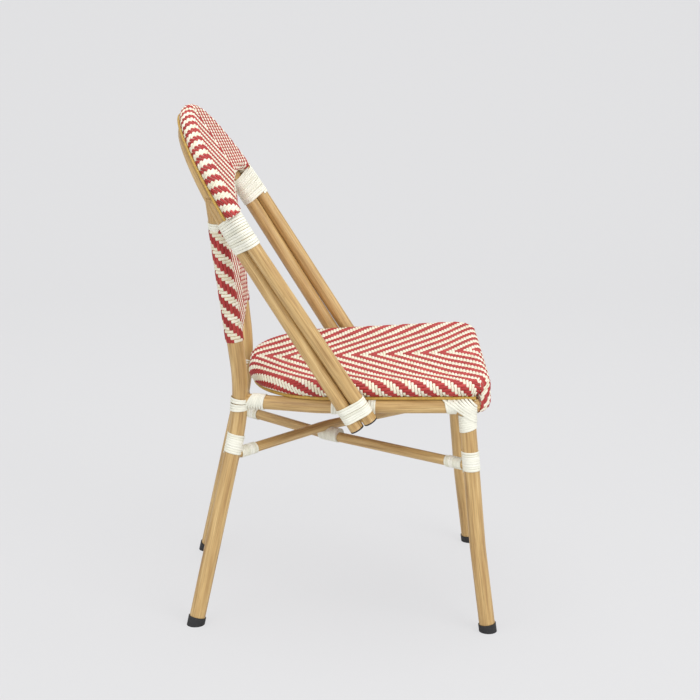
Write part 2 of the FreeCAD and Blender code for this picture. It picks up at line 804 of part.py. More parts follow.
def build():
    """Make every piece, named."""
    pieces = {}
    front_path = front_hoop.path()
    rear_path = rear_hoop.path()
    front_solid = swept(front_path, radius_of(hoop_diameter))
    rear_solid = swept(rear_path, radius_of(hoop_diameter)).cut(front_solid)
    pieces["back_hoop_front"] = tube(front_path, hoop_diameter)
    pieces["back_hoop_rear"] = tube(rear_path, hoop_diameter).cut(front_solid)
    plugs = [hoop_plug(front_hoop), hoop_plug(rear_hoop)]
    plugs += [mirrored(plug) for plug in plugs]
    pieces["hoop_end_plugs"] = Part.makeCompound(plugs)

    rail_solid = seat_plane(swept(rail_path(ring_height - rail_drop), radius_of(rail_diameter)))
    rear_path, front_path = leg_paths()
    leg, leg_solid = leg_tube(rear_path)
    rear_leg = largest(leg.cut(front_solid).cut(rear_solid))
    pieces["rear_leg_left"] = rear_leg
    pieces["rear_leg_right"] = mirrored(rear_leg)
    rear_solids = [leg_solid, mirrored(leg_solid)]
    leg, leg_solid = leg_tube(front_path)
    front_leg = largest(leg.cut(rail_solid))
    pieces["front_leg_left"] = front_leg
    pieces["front_leg_right"] = mirrored(front_leg)
    front_solids = [leg_solid, mirrored(leg_solid)]
    for name, points in (("rear", rear_leg_points()), ("front", front_leg_points())):
        cap = foot_cap(points)
        pieces["foot_cap_" + name + "_left"] = cap
        pieces["foot_cap_" + name + "_right"] = mirrored(cap)

    rail = seat_plane(tube(rail_path(ring_height - rail_drop), rail_diameter))
    for solid in rear_solids:
        rail = rail.cut(solid)
    pieces["seat_rail"] = largest(rail)
    pieces["seat_ring"] = seat_plane(tube(ring_path(ring_height), ring_diameter))
    pieces["seat_weave"] = seat_plane(seat_weave())
    pieces["seat_trim"] = seat_trim(pieces["seat_weave"], rail_solid)

    bars = []
    inset = radius_of(neck_bar_diameter) + strand_thickness
    for name, height in (("bottom", neck_bottom_height + inset), ("top", neck_top_height - inset)):
        left, right = neck_bar_ends(height)
        bar = straight_tube(left, right, neck_bar_diameter)
        for solid in rear_solids:
            bar = bar.cut(solid)
        pieces["neck_bar_" + name] = largest(bar)
        bars.append(rod(left, right, radius_of(neck_bar_diameter)))
    pieces["neck_weave"] = neck_weave(rear_solids, bars)

    panel_solid = swept(panel_bar_path(), radius_of(bar_diameter))
    pieces["arch_bar"] = largest(tube(panel_bar_path(), bar_diameter).cut(front_solid).cut(rear_solid))
    pieces["arch_weave"] = arch_weave([front_solid, rear_solid, panel_solid] + rear_solids)
    pieces["arch_trim"] = arch_trim([pieces["arch_weave"], rear_solid] + rear_solids)

    for name, side in (("lower", 1), ("upper", -1)):
        stretcher = tube(rounded_path(stretcher_points(side), [crossing_radius]), stretcher_diameter)
        for solid in rear_solids + front_solids:
            stretcher = stretcher.cut(solid)
        pieces["stretcher_" + name] = largest(stretcher)

    pieces.update(windings())
    return pieces


def main():
    """Write every piece to its own file."""
    os.makedirs("parts", exist_ok=True)
    pieces = build()
    for name in sorted(pieces):
        shape = pieces[name]
        print(name, "solids", len(shape.Solids), "valid", shape.isValid(), "volume", round(shape.Volume))
        shape.exportStep("parts/" + name + ".step")


main()
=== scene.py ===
import math

import bpy
import numpy as np
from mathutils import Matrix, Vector


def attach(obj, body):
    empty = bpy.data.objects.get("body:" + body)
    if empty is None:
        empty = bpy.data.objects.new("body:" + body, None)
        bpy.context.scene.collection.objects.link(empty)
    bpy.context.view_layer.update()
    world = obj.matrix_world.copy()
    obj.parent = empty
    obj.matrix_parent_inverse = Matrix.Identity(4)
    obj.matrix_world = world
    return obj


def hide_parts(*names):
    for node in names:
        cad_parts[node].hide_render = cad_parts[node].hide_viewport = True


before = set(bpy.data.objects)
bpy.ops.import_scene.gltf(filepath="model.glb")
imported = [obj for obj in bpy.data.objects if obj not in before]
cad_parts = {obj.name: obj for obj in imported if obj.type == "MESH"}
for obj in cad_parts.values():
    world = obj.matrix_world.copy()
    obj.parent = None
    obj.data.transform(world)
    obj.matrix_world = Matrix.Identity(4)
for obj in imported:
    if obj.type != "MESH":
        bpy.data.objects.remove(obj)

# The looks of a bistro chair: bamboo-grained tubes, red and cream strand woven three over three,
# cream strap windings over the joints, slim gold trims and black foot caps.
# Metres, X to the sitter's left, the front faces -Y, Z up.

MM = 0.001
RNG = np.random.default_rng(7)
LEAST_AREA = 2e-8
LEAST_LENGTH = 1e-12
LEAST_SIZE = 1e-9
UPRIGHT = (0, 0, 1.0)
DEPTH = (0, 1.0, 0)
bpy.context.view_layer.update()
ACROSS = np.array((1.0, 0, 0))

# Tubes
LEG_R = 14.0 * MM
HOOP_R = 12.5 * MM
RAIL_R = 12.5 * MM
RING_R = 12.5 * MM
STRETCHER_R = 9.0 * MM
TUBE_SIDES = 40
TUBE_STEP = 5.0 * MM
BEND_STEP = 3.0 * MM
STRETCHER_STEP = 6.0 * MM
FINE_STEP = 1.0 * MM
LEVEL_WITHIN = 100.0 * MM

# Legs: foot, bend and top of the left side's middle lines
REAR_LEG = np.array([(179.0, 259.0, 0.0), (120.0, 170.0, 400.0), (185.0, 213.0, 775.0)]) * MM
REAR_BEND_R = 320.0 * MM
FRONT_LEG = np.array([(216.0, -259.0, 0.0), (205.0, -239.0, 155.0), (193.3, -216.0, 409.2)]) * MM
FRONT_BEND_R = 400.0 * MM
FOOT_START = 6.5 * MM

# Hoops: each lies in a plane that leans back
HOOP_LEVEL = 697.0 * MM
FRONT_HOOP = dict(y=145.1 * MM, lean=math.radians(32.2), radius=226.0 * MM, centre=-4.0 * MM,
                  half=206.5 * MM, end=-365.2 * MM)
REAR_HOOP = dict(y=170.3 * MM, lean=math.radians(31.4), radius=211.0 * MM, centre=-22.0 * MM,
                 half=206.5 * MM, end=-378.4 * MM)
ARCH_STEPS = 120

# Seat outline, level, then tipped about the ring's front
SEAT_PITCH = math.radians(1.5)
SEAT_FRONT = -245.0 * MM
SEAT_FRONT_HALF = 196.0 * MM
SEAT_BEND_Y = 19.0 * MM
SEAT_BEND_HALF = 171.5 * MM
SEAT_REAR = 149.0 * MM
REAR_CORNER = 138.0 * MM
FRONT_CORNER = 30.0 * MM
RING_Z = 442.0 * MM
RAIL_DROP = 32.0 * MM
RAIL_Z = RING_Z - RAIL_DROP
RAIL_TURN_Y = 38.0 * MM
RAIL_TURN_R = 135.0 * MM
FLAP_DEPTH = 13.0 * MM
SEAT_DISH = 4.0 * MM
DISH_RAMP = 60.0 * MM
SIDE_TUCK = math.radians(172)
FLAP_TUCK = math.radians(120)

# Stretchers
STRETCHER_REAR_Z = 303.0 * MM
STRETCHER_FRONT_Z = 302.0 * MM
CROSSING_RISE = 10.6 * MM
CROSSING_DIP = 7.8 * MM
CROSSING_R = 300.0 * MM

# Neck panel and arch panel
NECK_LOW = 512.0 * MM
NECK_HIGH = 719.0 * MM
NECK_BAR_R = 12.5 * MM
STILE_SWELL = 25.0 * MM
MOST_TILT = 0.95
PANEL_START = 62.0 * MM
PANEL_RISE = 22.0 * MM
FOOT_SAG = 7.0 * MM
BAR_INSET = 12.0 * MM
BAR_R = 9.5 * MM
BAR_BEHIND = 0.8 * MM
SHEET_BEHIND = 0.4 * MM
RIM_WIDTH = HOOP_R
ARCH_TUCK = math.radians(150)
FOOT_TUCK = math.radians(290)

# Weave: strands pass over three and under three. Spacing is given across and along each panel, and
# the shift says which row its chevrons start on
STRAND = 1.4 * MM
LAID = 0.55 * STRAND
# Depth of the dark sheet of painted shade under the strands
SHADE_SHEET_DEPTH = 0.6 * STRAND
FLOAT_WIDTH_SHARE = 0.98
FLOAT_CELLS = 3
TONE_SPREAD = 3.0
SEAT_PITCHES = (5.95 * MM, 5.22 * MM)
NECK_PITCHES = (6.0 * MM, 6.1 * MM)
ARCH_PITCHES = (5.6 * MM, 5.3 * MM)
SEAT_SHIFT = 1
NECK_SHIFT = 2
ARCH_SHIFT = 0
FLOAT_PAST = 4
SEAM_MARGIN = 1.2 * SEAT_PITCHES[0]
UNDERSIDE_INSET_SHARE = 0.3

# Sleeves under the strands that cover a tube, so that no gap shows the bare tube. The seat ring's sleeve is
# painted shade, dark as the shadow between the strands; the arch's is strand cream
RING_SHADE_SLEEVE = 0.2 * STRAND
ARCH_SLEEVE = 0.3 * STRAND
SLEEVE_SIDES = 24
HEM_SIDES = 20
HEM_STEPS = 60

# Trims
SEAT_TRIM_R = 3.0 * MM
SEAT_TRIM_OUTSET = 4.0 * MM
SEAT_TRIM_FRONT = -231.0 * MM
SEAT_TRIM_DROP_SHARE = 0.51
ARCH_TRIM_R = 2.5 * MM
ARCH_TRIM_GAP = 0.2 * MM
ARCH_TRIM_BEARING = math.radians(160)
TRIM_STEP = 4.0 * MM
TRIM_SIDES = 12
ARCH_TRIM_STEPS = 160

# Strap: its section's corners as shares of width and thickness, and how it is wound
STRAP_WIDTH = 4.5 * MM
STRAP_THICK = 1.5 * MM
STRAP_PITCH = 4.4 * MM
STRAP_LAY = 0.2 * MM
STRAP_ACROSS_SHARES = (-0.5, -0.42, -0.2, 0.0, 0.2, 0.42, 0.5, 0.42, -0.42)
STRAP_OUT_SHARES = (0.42, 0.78, 0.96, 1.0, 0.96, 0.78, 0.42, 0.0, 0.0)
STEPS_PER_TURN = 40
TURN_WOBBLE_SHARE = 0.05
TURN_TONE = 0.7

# Windings: turns, and places along the tubes
UPPER_BINDING_TURNS = 13
UPPER_BINDING_AT = 31.0 * MM
LOWER_BINDING_TURNS = 7
LOWER_BINDING_RISE = 31.0 * MM
RAIL_LOOP_TURNS = 3
RAIL_LOOP_RISE = 32.0 * MM
RAIL_LOOP_REACH = 31.0 * MM
NECK_RING_TURNS = 3
NECK_RING_Z = 725.0 * MM
STRETCHER_TURNS = 8
SLEEVE_AT = 33.0 * MM
REAR_BAND_RISE = 20.0 * MM
FRONT_BAND_RISE = 9.0 * MM
CROSSING_TURNS = 9
CROSSING_LIFT = 3.0 * MM
CROSSING_AHEAD = 8.0 * MM
CORE_HALF_TURNS = 4.6
CORE_STEPS = 24
CORE_PROUD = 0.1 * STRAP_THICK

# Lashings: loops' places along a way, and the tilt of the first loop with the step to each next one.
# The reference is a skew direction that no tube runs along
LASH_BLEND = 2.5 * MM
LASH_REACH = 90.0 * MM
LASH_RAYS = 96
LASH_HALVINGS = 22
LASH_STEP = 2.0 * MM
LASH_PROBE = 0.5 * MM
LASH_REFERENCE = (0.31, 0.2, 0.93)
STUB = 90.0 * MM
FRONT_STUB = 70.0 * MM
RAIL_BEFORE_LEG = 4.0 * MM
FRONT_SLEEVE_AT = (17.0 + 4.1 * np.arange(5)) * MM
FRONT_SLEEVE_TILTS = (-0.20, 0.10)
FRONT_BAND_AT = (17.0 + 3.9 * np.arange(7)) * MM
FRONT_BAND_TILTS = (0.02, -0.04)
DIAGONAL_AT = 4.2 * (np.arange(8) - 5.7) * MM
DIAGONAL_SLANT = 0.85
DIAGONAL_TILTS = (-0.25, 0.05)
DIAGONAL_START = (7.0 * MM, 2.0 * MM)
DIAGONAL_LAYERS = (1.2 * MM, 1.35 * MM)
REAR_BAND_LOW = 355.0 * MM
REAR_BAND_HIGH = 425.0 * MM
REAR_BAND_AT = np.array((30.0, 34.3, 38.6, 44.5, 48.8)) * MM
REAR_BAND_TILTS = (-0.10, 0.05)
REAR_SLEEVE_AT = (13.0 + 4.4 * np.arange(7)) * MM
REAR_SLEEVE_ALONG = (0.80, 0.03)
REAR_SLEEVE_UP = (-0.42, 0.05)
RAIL_CHORD = 60.0 * MM

# Stage, lamps and the camera as it was fitted to the photo
STAGE_REACH = 9.0
STAGE_TURN_X = 2.2
STAGE_BEND = 1.5
STAGE_TOP = 6.0
STAGE_STEPS = 24
STAGE_SEEN_SHARE = 0.8
STAGE_COLOUR = (0.66, 0.66, 0.66, 1)
STAGE_SEEN_COLOUR = (0.785, 0.785, 0.80, 1)
STAGE_ROUGHNESS = 0.9
WORLD_STRENGTH = 0.72
LAMPS = (("key", (-2.2, -2.0, 2.6), (0, 0, 0.5), 2.0, 55.0),
         ("fill", (-2.5, 2.0, 1.8), (0, 0, 0.5), 2.5, 22.0),
         ("top", (0.3, 0.0, 3.0), (0, 0, 0.4), 2.5, 35.0))
SENSOR_WIDTH = 36.0
PICTURE_WIDTH_PIXELS = 700.0
CAMERA_FOCAL_PIXELS = 1880.0
CAMERA_PLACE = (-3.2744, 0.0321, 1.3839)
CAMERA_YAW = -0.015475
CAMERA_PITCH = 0.276292


# Small vector helpers

def unit(v):
    """Rows of vectors at length one."""
    v = np.asarray(v, float)
    return v / np.maximum(np.linalg.norm(v, axis=-1, keepdims=True), LEAST_LENGTH)


def combined(*terms):
    """The sum of directions, each times its amount at every place."""
    return sum(np.asarray(amount)[..., None] * way for amount, way in terms)


def mirrored(points):
    """Points on the other side of the middle plane."""
    return np.asarray(points, float) * (-1.0, 1.0, 1.0)


def at_height(low, high, z):
    """The point of a line at a height."""
    return low + (high - low) * (z - low[2]) / (high[2] - low[2])


def rounded(points, radii, step):
    """A route through points whose inner corners are arcs: straight runs, then each arc sampled evenly."""
    points = [np.asarray(p, float) for p in points]
    parts = [points[0][None]]
    for k, radius in enumerate(radii):
        corner = points[k + 1]
        back = unit(points[k] - corner)
        ahead = unit(points[k + 2] - corner)
        half_turn = (math.pi - math.acos(np.clip(back @ ahead, -1, 1))) / 2
        middle = unit(back + ahead)
        centre = corner + middle * (radius / math.cos(half_turn))
        side = unit(back - ahead)
        count = max(3, int(2 * half_turn * radius / step) + 2)
        turn = np.linspace(half_turn, -half_turn, count)[:, None]
        parts.append(centre + radius * (-middle * np.cos(turn) + side * np.sin(turn)))
    parts.append(points[-1][None])
    return np.concatenate(parts)


def runs(route):
    """How far along a route each of its points lies."""
    return np.concatenate([[0], np.cumsum(np.linalg.norm(np.diff(route, axis=0), axis=1))])


def resampled(route, step, closed=False):
    """The route's points at even distances along it."""
    if closed:
        route = np.concatenate([route, route[:1]])
    run = runs(route)
    count = max(2, int(round(run[-1] / step)) + 1)
    where = np.linspace(0, run[-1], count)
    out = np.stack([np.interp(where, run, route[:, axis]) for axis in range(3)], axis=1)
    return out[:-1] if closed else out


def frames_along(route, reference):
    """Tangents along a route and two cross directions: one square to a fixed direction, one near it."""
    tangents = unit(np.gradient(route, axis=0))
    first = unit(np.cross(tangents, reference))
    return tangents, first, np.cross(tangents, first)


# Mesh helpers: a part is its points, its quads and its grain, the place along and round the strand or tube

def make_piece(name, part, material, nodes):
    """A mesh object at the origin that rides on the chair and takes the place of its nodes."""
    points, faces, grain = part
    mesh = bpy.data.meshes.new(name)
    points = np.ascontiguousarray(points, dtype=np.float32).reshape(-1, 3)
    faces = np.asarray(faces, dtype=np.int32)
    size = faces.shape[1]
    mesh.vertices.add(len(points))
    mesh.vertices.foreach_set("co", points.ravel())
    mesh.loops.add(faces.size)
    mesh.loops.foreach_set("vertex_index", faces.ravel())
    mesh.polygons.add(len(faces))
    mesh.polygons.foreach_set("loop_start", np.arange(0, faces.size, size, dtype=np.int32))
    mesh.polygons.foreach_set("loop_total", np.full(len(faces), size, dtype=np.int32))
    mesh.update(calc_edges=True)
    layer = mesh.attributes.new("grain", "FLOAT_VECTOR", "POINT")
    layer.data.foreach_set("vector", np.ascontiguousarray(grain, dtype=np.float32).ravel())
    mesh.polygons.foreach_set("use_smooth", np.full(len(faces), True))
    mesh.validate()
    piece = bpy.data.objects.new(name, mesh)
    bpy.context.scene.collection.objects.link(piece)
    mesh.materials.append(material)
    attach(piece, "root")
    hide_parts(*nodes)


def grid_faces(rows, columns, closed_rows=False, closed_columns=False):
    """Quads between the neighbours of a grid of points stored row by row."""
    r = np.arange(rows if closed_rows else rows - 1)
    c = np.arange(columns if closed_columns else columns - 1)
    r, c = np.meshgrid(r, c, indexing="ij")
    r, c = r.ravel(), c.ravel()
    r1, c1 = (r + 1) % rows, (c + 1) % columns
    return np.stack([r * columns + c, r * columns + c1, r1 * columns + c1, r1 * columns + c], axis=1)


def joined_parts(parts):
    """Several parts as one."""
    shift = 0
    points, faces, grain = [], [], []
    for part_points, part_faces, part_grain in parts:
        points.append(part_points.reshape(-1, 3))
        faces.append(part_faces + shift)
        grain.append(part_grain.reshape(-1, 3))
        shift += len(points[-1])
    return np.concatenate(points), np.concatenate(faces), np.concatenate(grain)


def with_ends(points, grain):
    """Rows of closed sections with each end drawn in to one point, so that the bar or strap is closed."""
    first = np.broadcast_to(points[0].mean(axis=0), points[0].shape)[None]
    last = np.broadcast_to(points[-1].mean(axis=0), points[-1].shape)[None]
    points = np.concatenate([first, points[:1], points, points[-1:], last])
    grain = np.concatenate([grain[:1], grain[:1], grain, grain[-1:], grain[-1:]])
    return points, grid_faces(points.shape[0], points.shape[1], closed_columns=True), grain


def round_bar(route, radius, reference=UPRIGHT, sides=32, seed=0.0):
    """A closed round bar: circles carried along a route."""
    first, second = frames_along(route, reference)[1:]
    turn = np.linspace(0, 2 * math.pi, sides, endpoint=False)
    ring = np.cos(turn)[None, :, None] * first[:, None] + np.sin(turn)[None, :, None] * second[:, None]
    points = route[:, None] + ring * radius
    grain = np.empty_like(points)
    grain[..., 0] = np.cos(turn) * radius + seed
    grain[..., 1] = np.sin(turn) * radius
    grain[..., 2] = runs(route)[:, None] + seed
    return with_ends(points, grain)


# Routes

def seat_slope():
    """How fast the seat narrows to the rear, in width per depth."""
    return (SEAT_FRONT_HALF - SEAT_BEND_HALF) / (SEAT_BEND_Y - SEAT_FRONT)


def seat_half(y):
    """Half the seat frame's width at a place along Y."""
    return SEAT_FRONT_HALF - seat_slope() * (y - SEAT_FRONT)


def tipped(points):
    """Level seat points turned back about the ring's front edge by the seat's pitch."""
    points = np.asarray(points, float)
    y, z = points[..., 1] - SEAT_FRONT, points[..., 2] - RING_Z
    c, s = math.cos(SEAT_PITCH), math.sin(SEAT_PITCH)
    return np.stack([points[..., 0], SEAT_FRONT + y * c + z * s, RING_Z - y * s + z * c], axis=-1)


def rail_route():
    """The rail from the left rear leg, along the side, across the front and back."""
    leg = at_height(REAR_LEG[1], REAR_LEG[2], RAIL_Z)
    left = [(leg[0], leg[1], RAIL_Z), (seat_half(RAIL_TURN_Y), RAIL_TURN_Y, RAIL_Z),
            (SEAT_FRONT_HALF, SEAT_FRONT, RAIL_Z)]
    right = [(-x, y, z) for x, y, z in reversed(left)]
    return tipped(rounded(left + right, [RAIL_TURN_R, FRONT_CORNER, FRONT_CORNER, RAIL_TURN_R], BEND_STEP))


class Hoop:
    """A planar hoop: two arms that touch an arch, on a plane that leans back."""

    def __init__(self, y, lean, radius, centre, half, end):
        self.up = np.array((0, math.sin(lean), math.cos(lean)))
        self.front = np.array((0, -math.cos(lean), math.sin(lean)))
        self.origin = np.array((0, y, HOOP_LEVEL))
        self.radius, self.centre, self.half, self.end = radius, centre, half, end
        reach = math.hypot(half, end - centre)
        self.touch = math.atan2(end - centre, half) + math.acos(radius / reach)

    def at(self, across, along, forward=0.0):
        """Points from their place across, up the plane and in front of it."""
        across, along, forward = np.broadcast_arrays(across, along, forward)
        return self.origin + combined((across, ACROSS), (along, self.up), (forward, self.front))

    def width(self, along):
        """Half the hoop's width at a place up its plane: on the arch, or on the arm that touches it."""
        along = np.asarray(along, float)
        touch_along = self.centre + self.radius * math.sin(self.touch)
        touch_width = self.radius * math.cos(self.touch)
        arch = np.sqrt(np.maximum(self.radius ** 2 - (along - self.centre) ** 2, 0))
        arm = self.half + (touch_width - self.half) * (along - self.end) / (touch_along - self.end)
        return np.where(along > touch_along, arch, arm)

    def arc(self, start, radius, forward=0.0, steps=ARCH_STEPS):
        """Points round the arch's centre at a radius, from a bearing to its mirror image."""
        turn = np.linspace(start, math.pi - start, steps)
        return self.at(radius * np.cos(turn), self.centre + radius * np.sin(turn), forward)

    def route(self):
        """Left arm, arch and right arm."""
        ends = [self.at(side * self.half, self.end)[None] for side in (1, -1)]
        return np.concatenate([ends[0], self.arc(self.touch, self.radius), ends[1]])


FRONT = Hoop(**FRONT_HOOP)
REAR = Hoop(**REAR_HOOP)


def leg_route(points, bend):
    """A leg's middle line from its cap up."""
    foot, corner, top = points
    return rounded([at_height(foot, corner, FOOT_START), corner, top], [bend], TUBE_STEP)


def stretcher_points(side):
    """Rear end, crossing and front end of a stretcher."""
    rear = at_height(REAR_LEG[0], REAR_LEG[1], STRETCHER_REAR_Z) * (side, 1, 1)
    front = at_height(FRONT_LEG[1], FRONT_LEG[2], STRETCHER_FRONT_Z) * (-side, 1, 1)
    rise = CROSSING_RISE if side < 0 else -CROSSING_DIP
    crossing = rear + (front - rear) * (rear[0] / (rear[0] - front[0])) + np.array((0, 0, rise))
    return [rear, crossing, front]


# Materials

MOTTLE_SHARE = 0.12


def new_material(name):
    """An empty node material with its shader."""
    material = bpy.data.materials.new(name)
    material.use_nodes = True
    nodes = material.node_tree.nodes
    return material, nodes, material.node_tree.links, nodes["Principled BSDF"]


def ramp(nodes, links, source, stops):
    """The colour that a noise picks from a ramp's stops."""
    node = nodes.new("ShaderNodeValToRGB")
    elements = node.color_ramp.elements
    while len(elements) < len(stops):
        elements.new(0.5)
    for element, (place, colour) in zip(elements, stops):
        element.position = place
        element.color = (*colour, 1)
    links.new(source.outputs["Fac"], node.inputs["Fac"])
    return node.outputs["Color"]


def noise_on_grain(nodes, links, scale, size, detail, rough):
    """Noise on the piece's own grain attribute, stretched by a scale."""
    source = nodes.new("ShaderNodeAttribute")
    source.attribute_name = "grain"
    mapping = nodes.new("ShaderNodeMapping")
    mapping.inputs["Scale"].default_value = scale
    noise = nodes.new("ShaderNodeTexNoise")
    noise.inputs["Scale"].default_value = size
    noise.inputs["Detail"].default_value = detail
    noise.inputs["Roughness"].default_value = rough
    links.new(source.outputs["Vector"], mapping.inputs["Vector"])
    links.new(mapping.outputs["Vector"], noise.inputs["Vector"])
    return noise


def bump_from(nodes, links, noise, strength, distance, shader):
    """Small relief from a noise."""
    bump = nodes.new("ShaderNodeBump")
    bump.inputs["Strength"].default_value = strength
    bump.inputs["Distance"].default_value = distance
    links.new(noise.outputs["Fac"], bump.inputs["Height"])
    links.new(bump.outputs["Normal"], shader.inputs["Normal"])


def darkened(nodes, links, factor, colour, shade):
    """A colour multiplied by a shade, as far as the factor says."""
    node = nodes.new("ShaderNodeMix")
    node.data_type = "RGBA"
    node.blend_type = "MULTIPLY"
    node.inputs[0].default_value = factor
    links.new(colour, node.inputs[6])
    links.new(shade, node.inputs[7])
    return node.outputs[2]


def bamboo_material():
    """Tan tube finish with fine lengthwise grain, broader light and dark streaks and small flecks."""
    material, nodes, links, shader = new_material("bamboo")
    broad = noise_on_grain(nodes, links, (1.0, 1.0, 0.05), 190.0, 3.0, 0.5)
    fine = noise_on_grain(nodes, links, (1.0, 1.0, 0.02), 620.0, 5.0, 0.65)
    fleck = noise_on_grain(nodes, links, (1.0, 1.0, 0.12), 420.0, 2.0, 0.5)
    base = ramp(nodes, links, broad, [(0.28, (0.40, 0.235, 0.085)), (0.46, (0.53, 0.34, 0.135)),
                                      (0.60, (0.60, 0.405, 0.17)), (0.78, (0.70, 0.50, 0.24))])
    streak = ramp(nodes, links, fine, [(0.34, (0.66, 0.58, 0.48)), (0.50, (1.0, 1.0, 1.0)),
                                       (0.70, (1.16, 1.15, 1.10))])
    dark = ramp(nodes, links, fleck, [(0.66, (1.0, 1.0, 1.0)), (0.74, (0.72, 0.62, 0.50))])
    colour = darkened(nodes, links, 0.55, darkened(nodes, links, 0.85, base, streak), dark)
    links.new(colour, shader.inputs["Base Color"])
    shader.inputs["Roughness"].default_value = 0.42
    shader.inputs["Coat Weight"].default_value = 0.15
    shader.inputs["Coat Roughness"].default_value = 0.35
    bump_from(nodes, links, fine, 0.25, 0.0004, shader)
    return material


def strand_material(name, dark, middle, light, rough):
    """Plastic strand: lengthwise fine lines, a little lighter or darker from strand to strand."""
    material, nodes, links, shader = new_material(name)
    lines = noise_on_grain(nodes, links, (1.0, 0.03, 1.0), 900.0, 3.0, 0.6)
    tone = noise_on_grain(nodes, links, (0.0, 0.0, 1.0), 37.0, 0.0, 0.5)
    base = ramp(nodes, links, tone, [(0.30, dark), (0.5, middle), (0.70, light)])
    streak = ramp(nodes, links, lines, [(0.32, (0.80, 0.80, 0.80)), (0.55, (1.0, 1.0, 1.0)),
                                        (0.75, (1.08, 1.08, 1.08))])
    links.new(darkened(nodes, links, 0.7, base, streak), shader.inputs["Base Color"])
    shader.inputs["Roughness"].default_value = rough
    bump_from(nodes, links, lines, 0.35, 0.0003, shader)
    return material


def plain_material(name, colour, rough):
    """Moulded plastic or rubber: one colour, slightly mottled, with a fine pebble."""
    material, nodes, links, shader = new_material(name)
    place = nodes.new("ShaderNodeTexCoord")
    noise = nodes.new("ShaderNodeTexNoise")
    noise.inputs["Scale"].default_value = 220.0
    noise.inputs["Detail"].default_value = 4.0
    links.new(place.outputs["Object"], noise.inputs["Vector"])
    low = tuple(c * (1 - MOTTLE_SHARE) for c in colour)
    high = tuple(min(1.0, c * (1 + MOTTLE_SHARE)) for c in colour)
    links.new(ramp(nodes, links, noise, [(0.35, low), (0.65, high)]), shader.inputs["Base Color"])
    shader.inputs["Roughness"].default_value = rough
    bump_from(nodes, links, noise, 0.12, 0.0002, shader)
    return material


BAMBOO = bamboo_material()
RED = strand_material("strand_red", (0.33, 0.018, 0.018), (0.41, 0.028, 0.026), (0.50, 0.048, 0.044), 0.55)
CREAM = strand_material("strand_cream", (0.78, 0.73, 0.55), (0.85, 0.81, 0.65), (0.90, 0.86, 0.73), 0.55)
BINDING = strand_material("strand_binding", (0.80, 0.79, 0.66), (0.87, 0.86, 0.75), (0.92, 0.91, 0.82), 0.5)
GOLD = plain_material("trim_gold", (0.52, 0.32, 0.06), 0.42)
BLACK = plain_material("cap_black", (0.018, 0.018, 0.020), 0.6)
# Painted shade: the dark brown of the sheets and the seat ring's sleeve under the strands, which stands in
# for the shadow between them
WEAVE_SHADE = plain_material("weave_shadow", (0.33, 0.16, 0.12), 0.8)
ALUMINIUM = plain_material("inner_tube", (0.55, 0.55, 0.55), 0.4)


# Weave: each strand shows as floats, short domed ribbons that dip under their neighbours

def cells(low, high, pitch):
    """Cell numbers that cover a stretch."""
    return np.arange(math.floor(low / pitch), math.ceil(high / pitch) + 1)


def float_runs(top):
    """Runs of true cells along the second axis: strand number, first cell and cell count of each."""
    padded = np.pad(top.astype(np.int8), ((0, 0), (1, 1)))
    change = np.diff(padded, axis=1)
    strand, start = np.nonzero(change == 1)
    end = np.nonzero(change == -1)[1]
    return strand, start, end - start


def float_ribbons(strand, start, count, behind):
    """Places across and along, and height share, of each float's ribbon, as whole arrays. The ends dip
    in the first and last part of a cell, and the section is a low dome. Behind, the ribbon is plainer."""
    if behind:
        ahead, lift = np.array((-0.35, 0.25)), np.array((-0.6, 1.0))
        across = np.array((-0.5, -0.25, 0.25, 0.5))
        dome = np.array((-0.2, 0.9, 0.9, -0.2))
    else:
        ahead, lift = np.array((-0.42, -0.12, 0.16, 0.5)), np.array((-0.75, 0.0, 0.72, 1.0))
        across = np.array((-0.5, -0.40, -0.18, 0.18, 0.40, 0.5))
        dome = np.array((-0.35, 0.55, 0.96, 0.96, 0.55, -0.35))
    head = start[:, None] + ahead[None]
    tail = (start + count)[:, None] - ahead[None, ::-1]
    along = np.concatenate([head, tail], axis=1)[:, :, None]
    lifts = np.concatenate([lift, lift[::-1]])[None, :, None]
    side = (strand + 0.5)[:, None, None] + across[None, None] * FLOAT_WIDTH_SHARE
    height = np.minimum(dome[None, None], 1.0) + lifts - 1.0
    height = np.where(lifts >= 1.0, dome[None, None], height)
    return np.broadcast_arrays(side, along, height, across[None, None])


def twill(columns, rows, apex_low, shift):
    """Three over three twill, mirrored about column zero: true where the strand along the rows shows.
    The chevrons' apexes lie at their low or their high end along the rows."""
    i, j = np.meshgrid(columns, rows, indexing="ij")
    step = np.where(i >= 0, i, -1 - i)
    way = -1 if apex_low else 1
    return np.mod(way * step + j + shift, 2 * FLOAT_CELLS) < FLOAT_CELLS


def kept_faces(points, faces, zone):
    """The faces that lie wholly in the zone and aren't squeezed to nothing, with their points."""
    faces = faces[zone.reshape(-1)[faces].all(axis=1)]
    corners = points[faces]
    area = np.linalg.norm(np.cross(corners[:, 2] - corners[:, 0], corners[:, 3] - corners[:, 1]), axis=1)
    faces = faces[area > LEAST_AREA]
    used = np.unique(faces)
    place = np.zeros(len(points), dtype=np.int64)
    place[used] = np.arange(len(used))
    return used, place[faces]


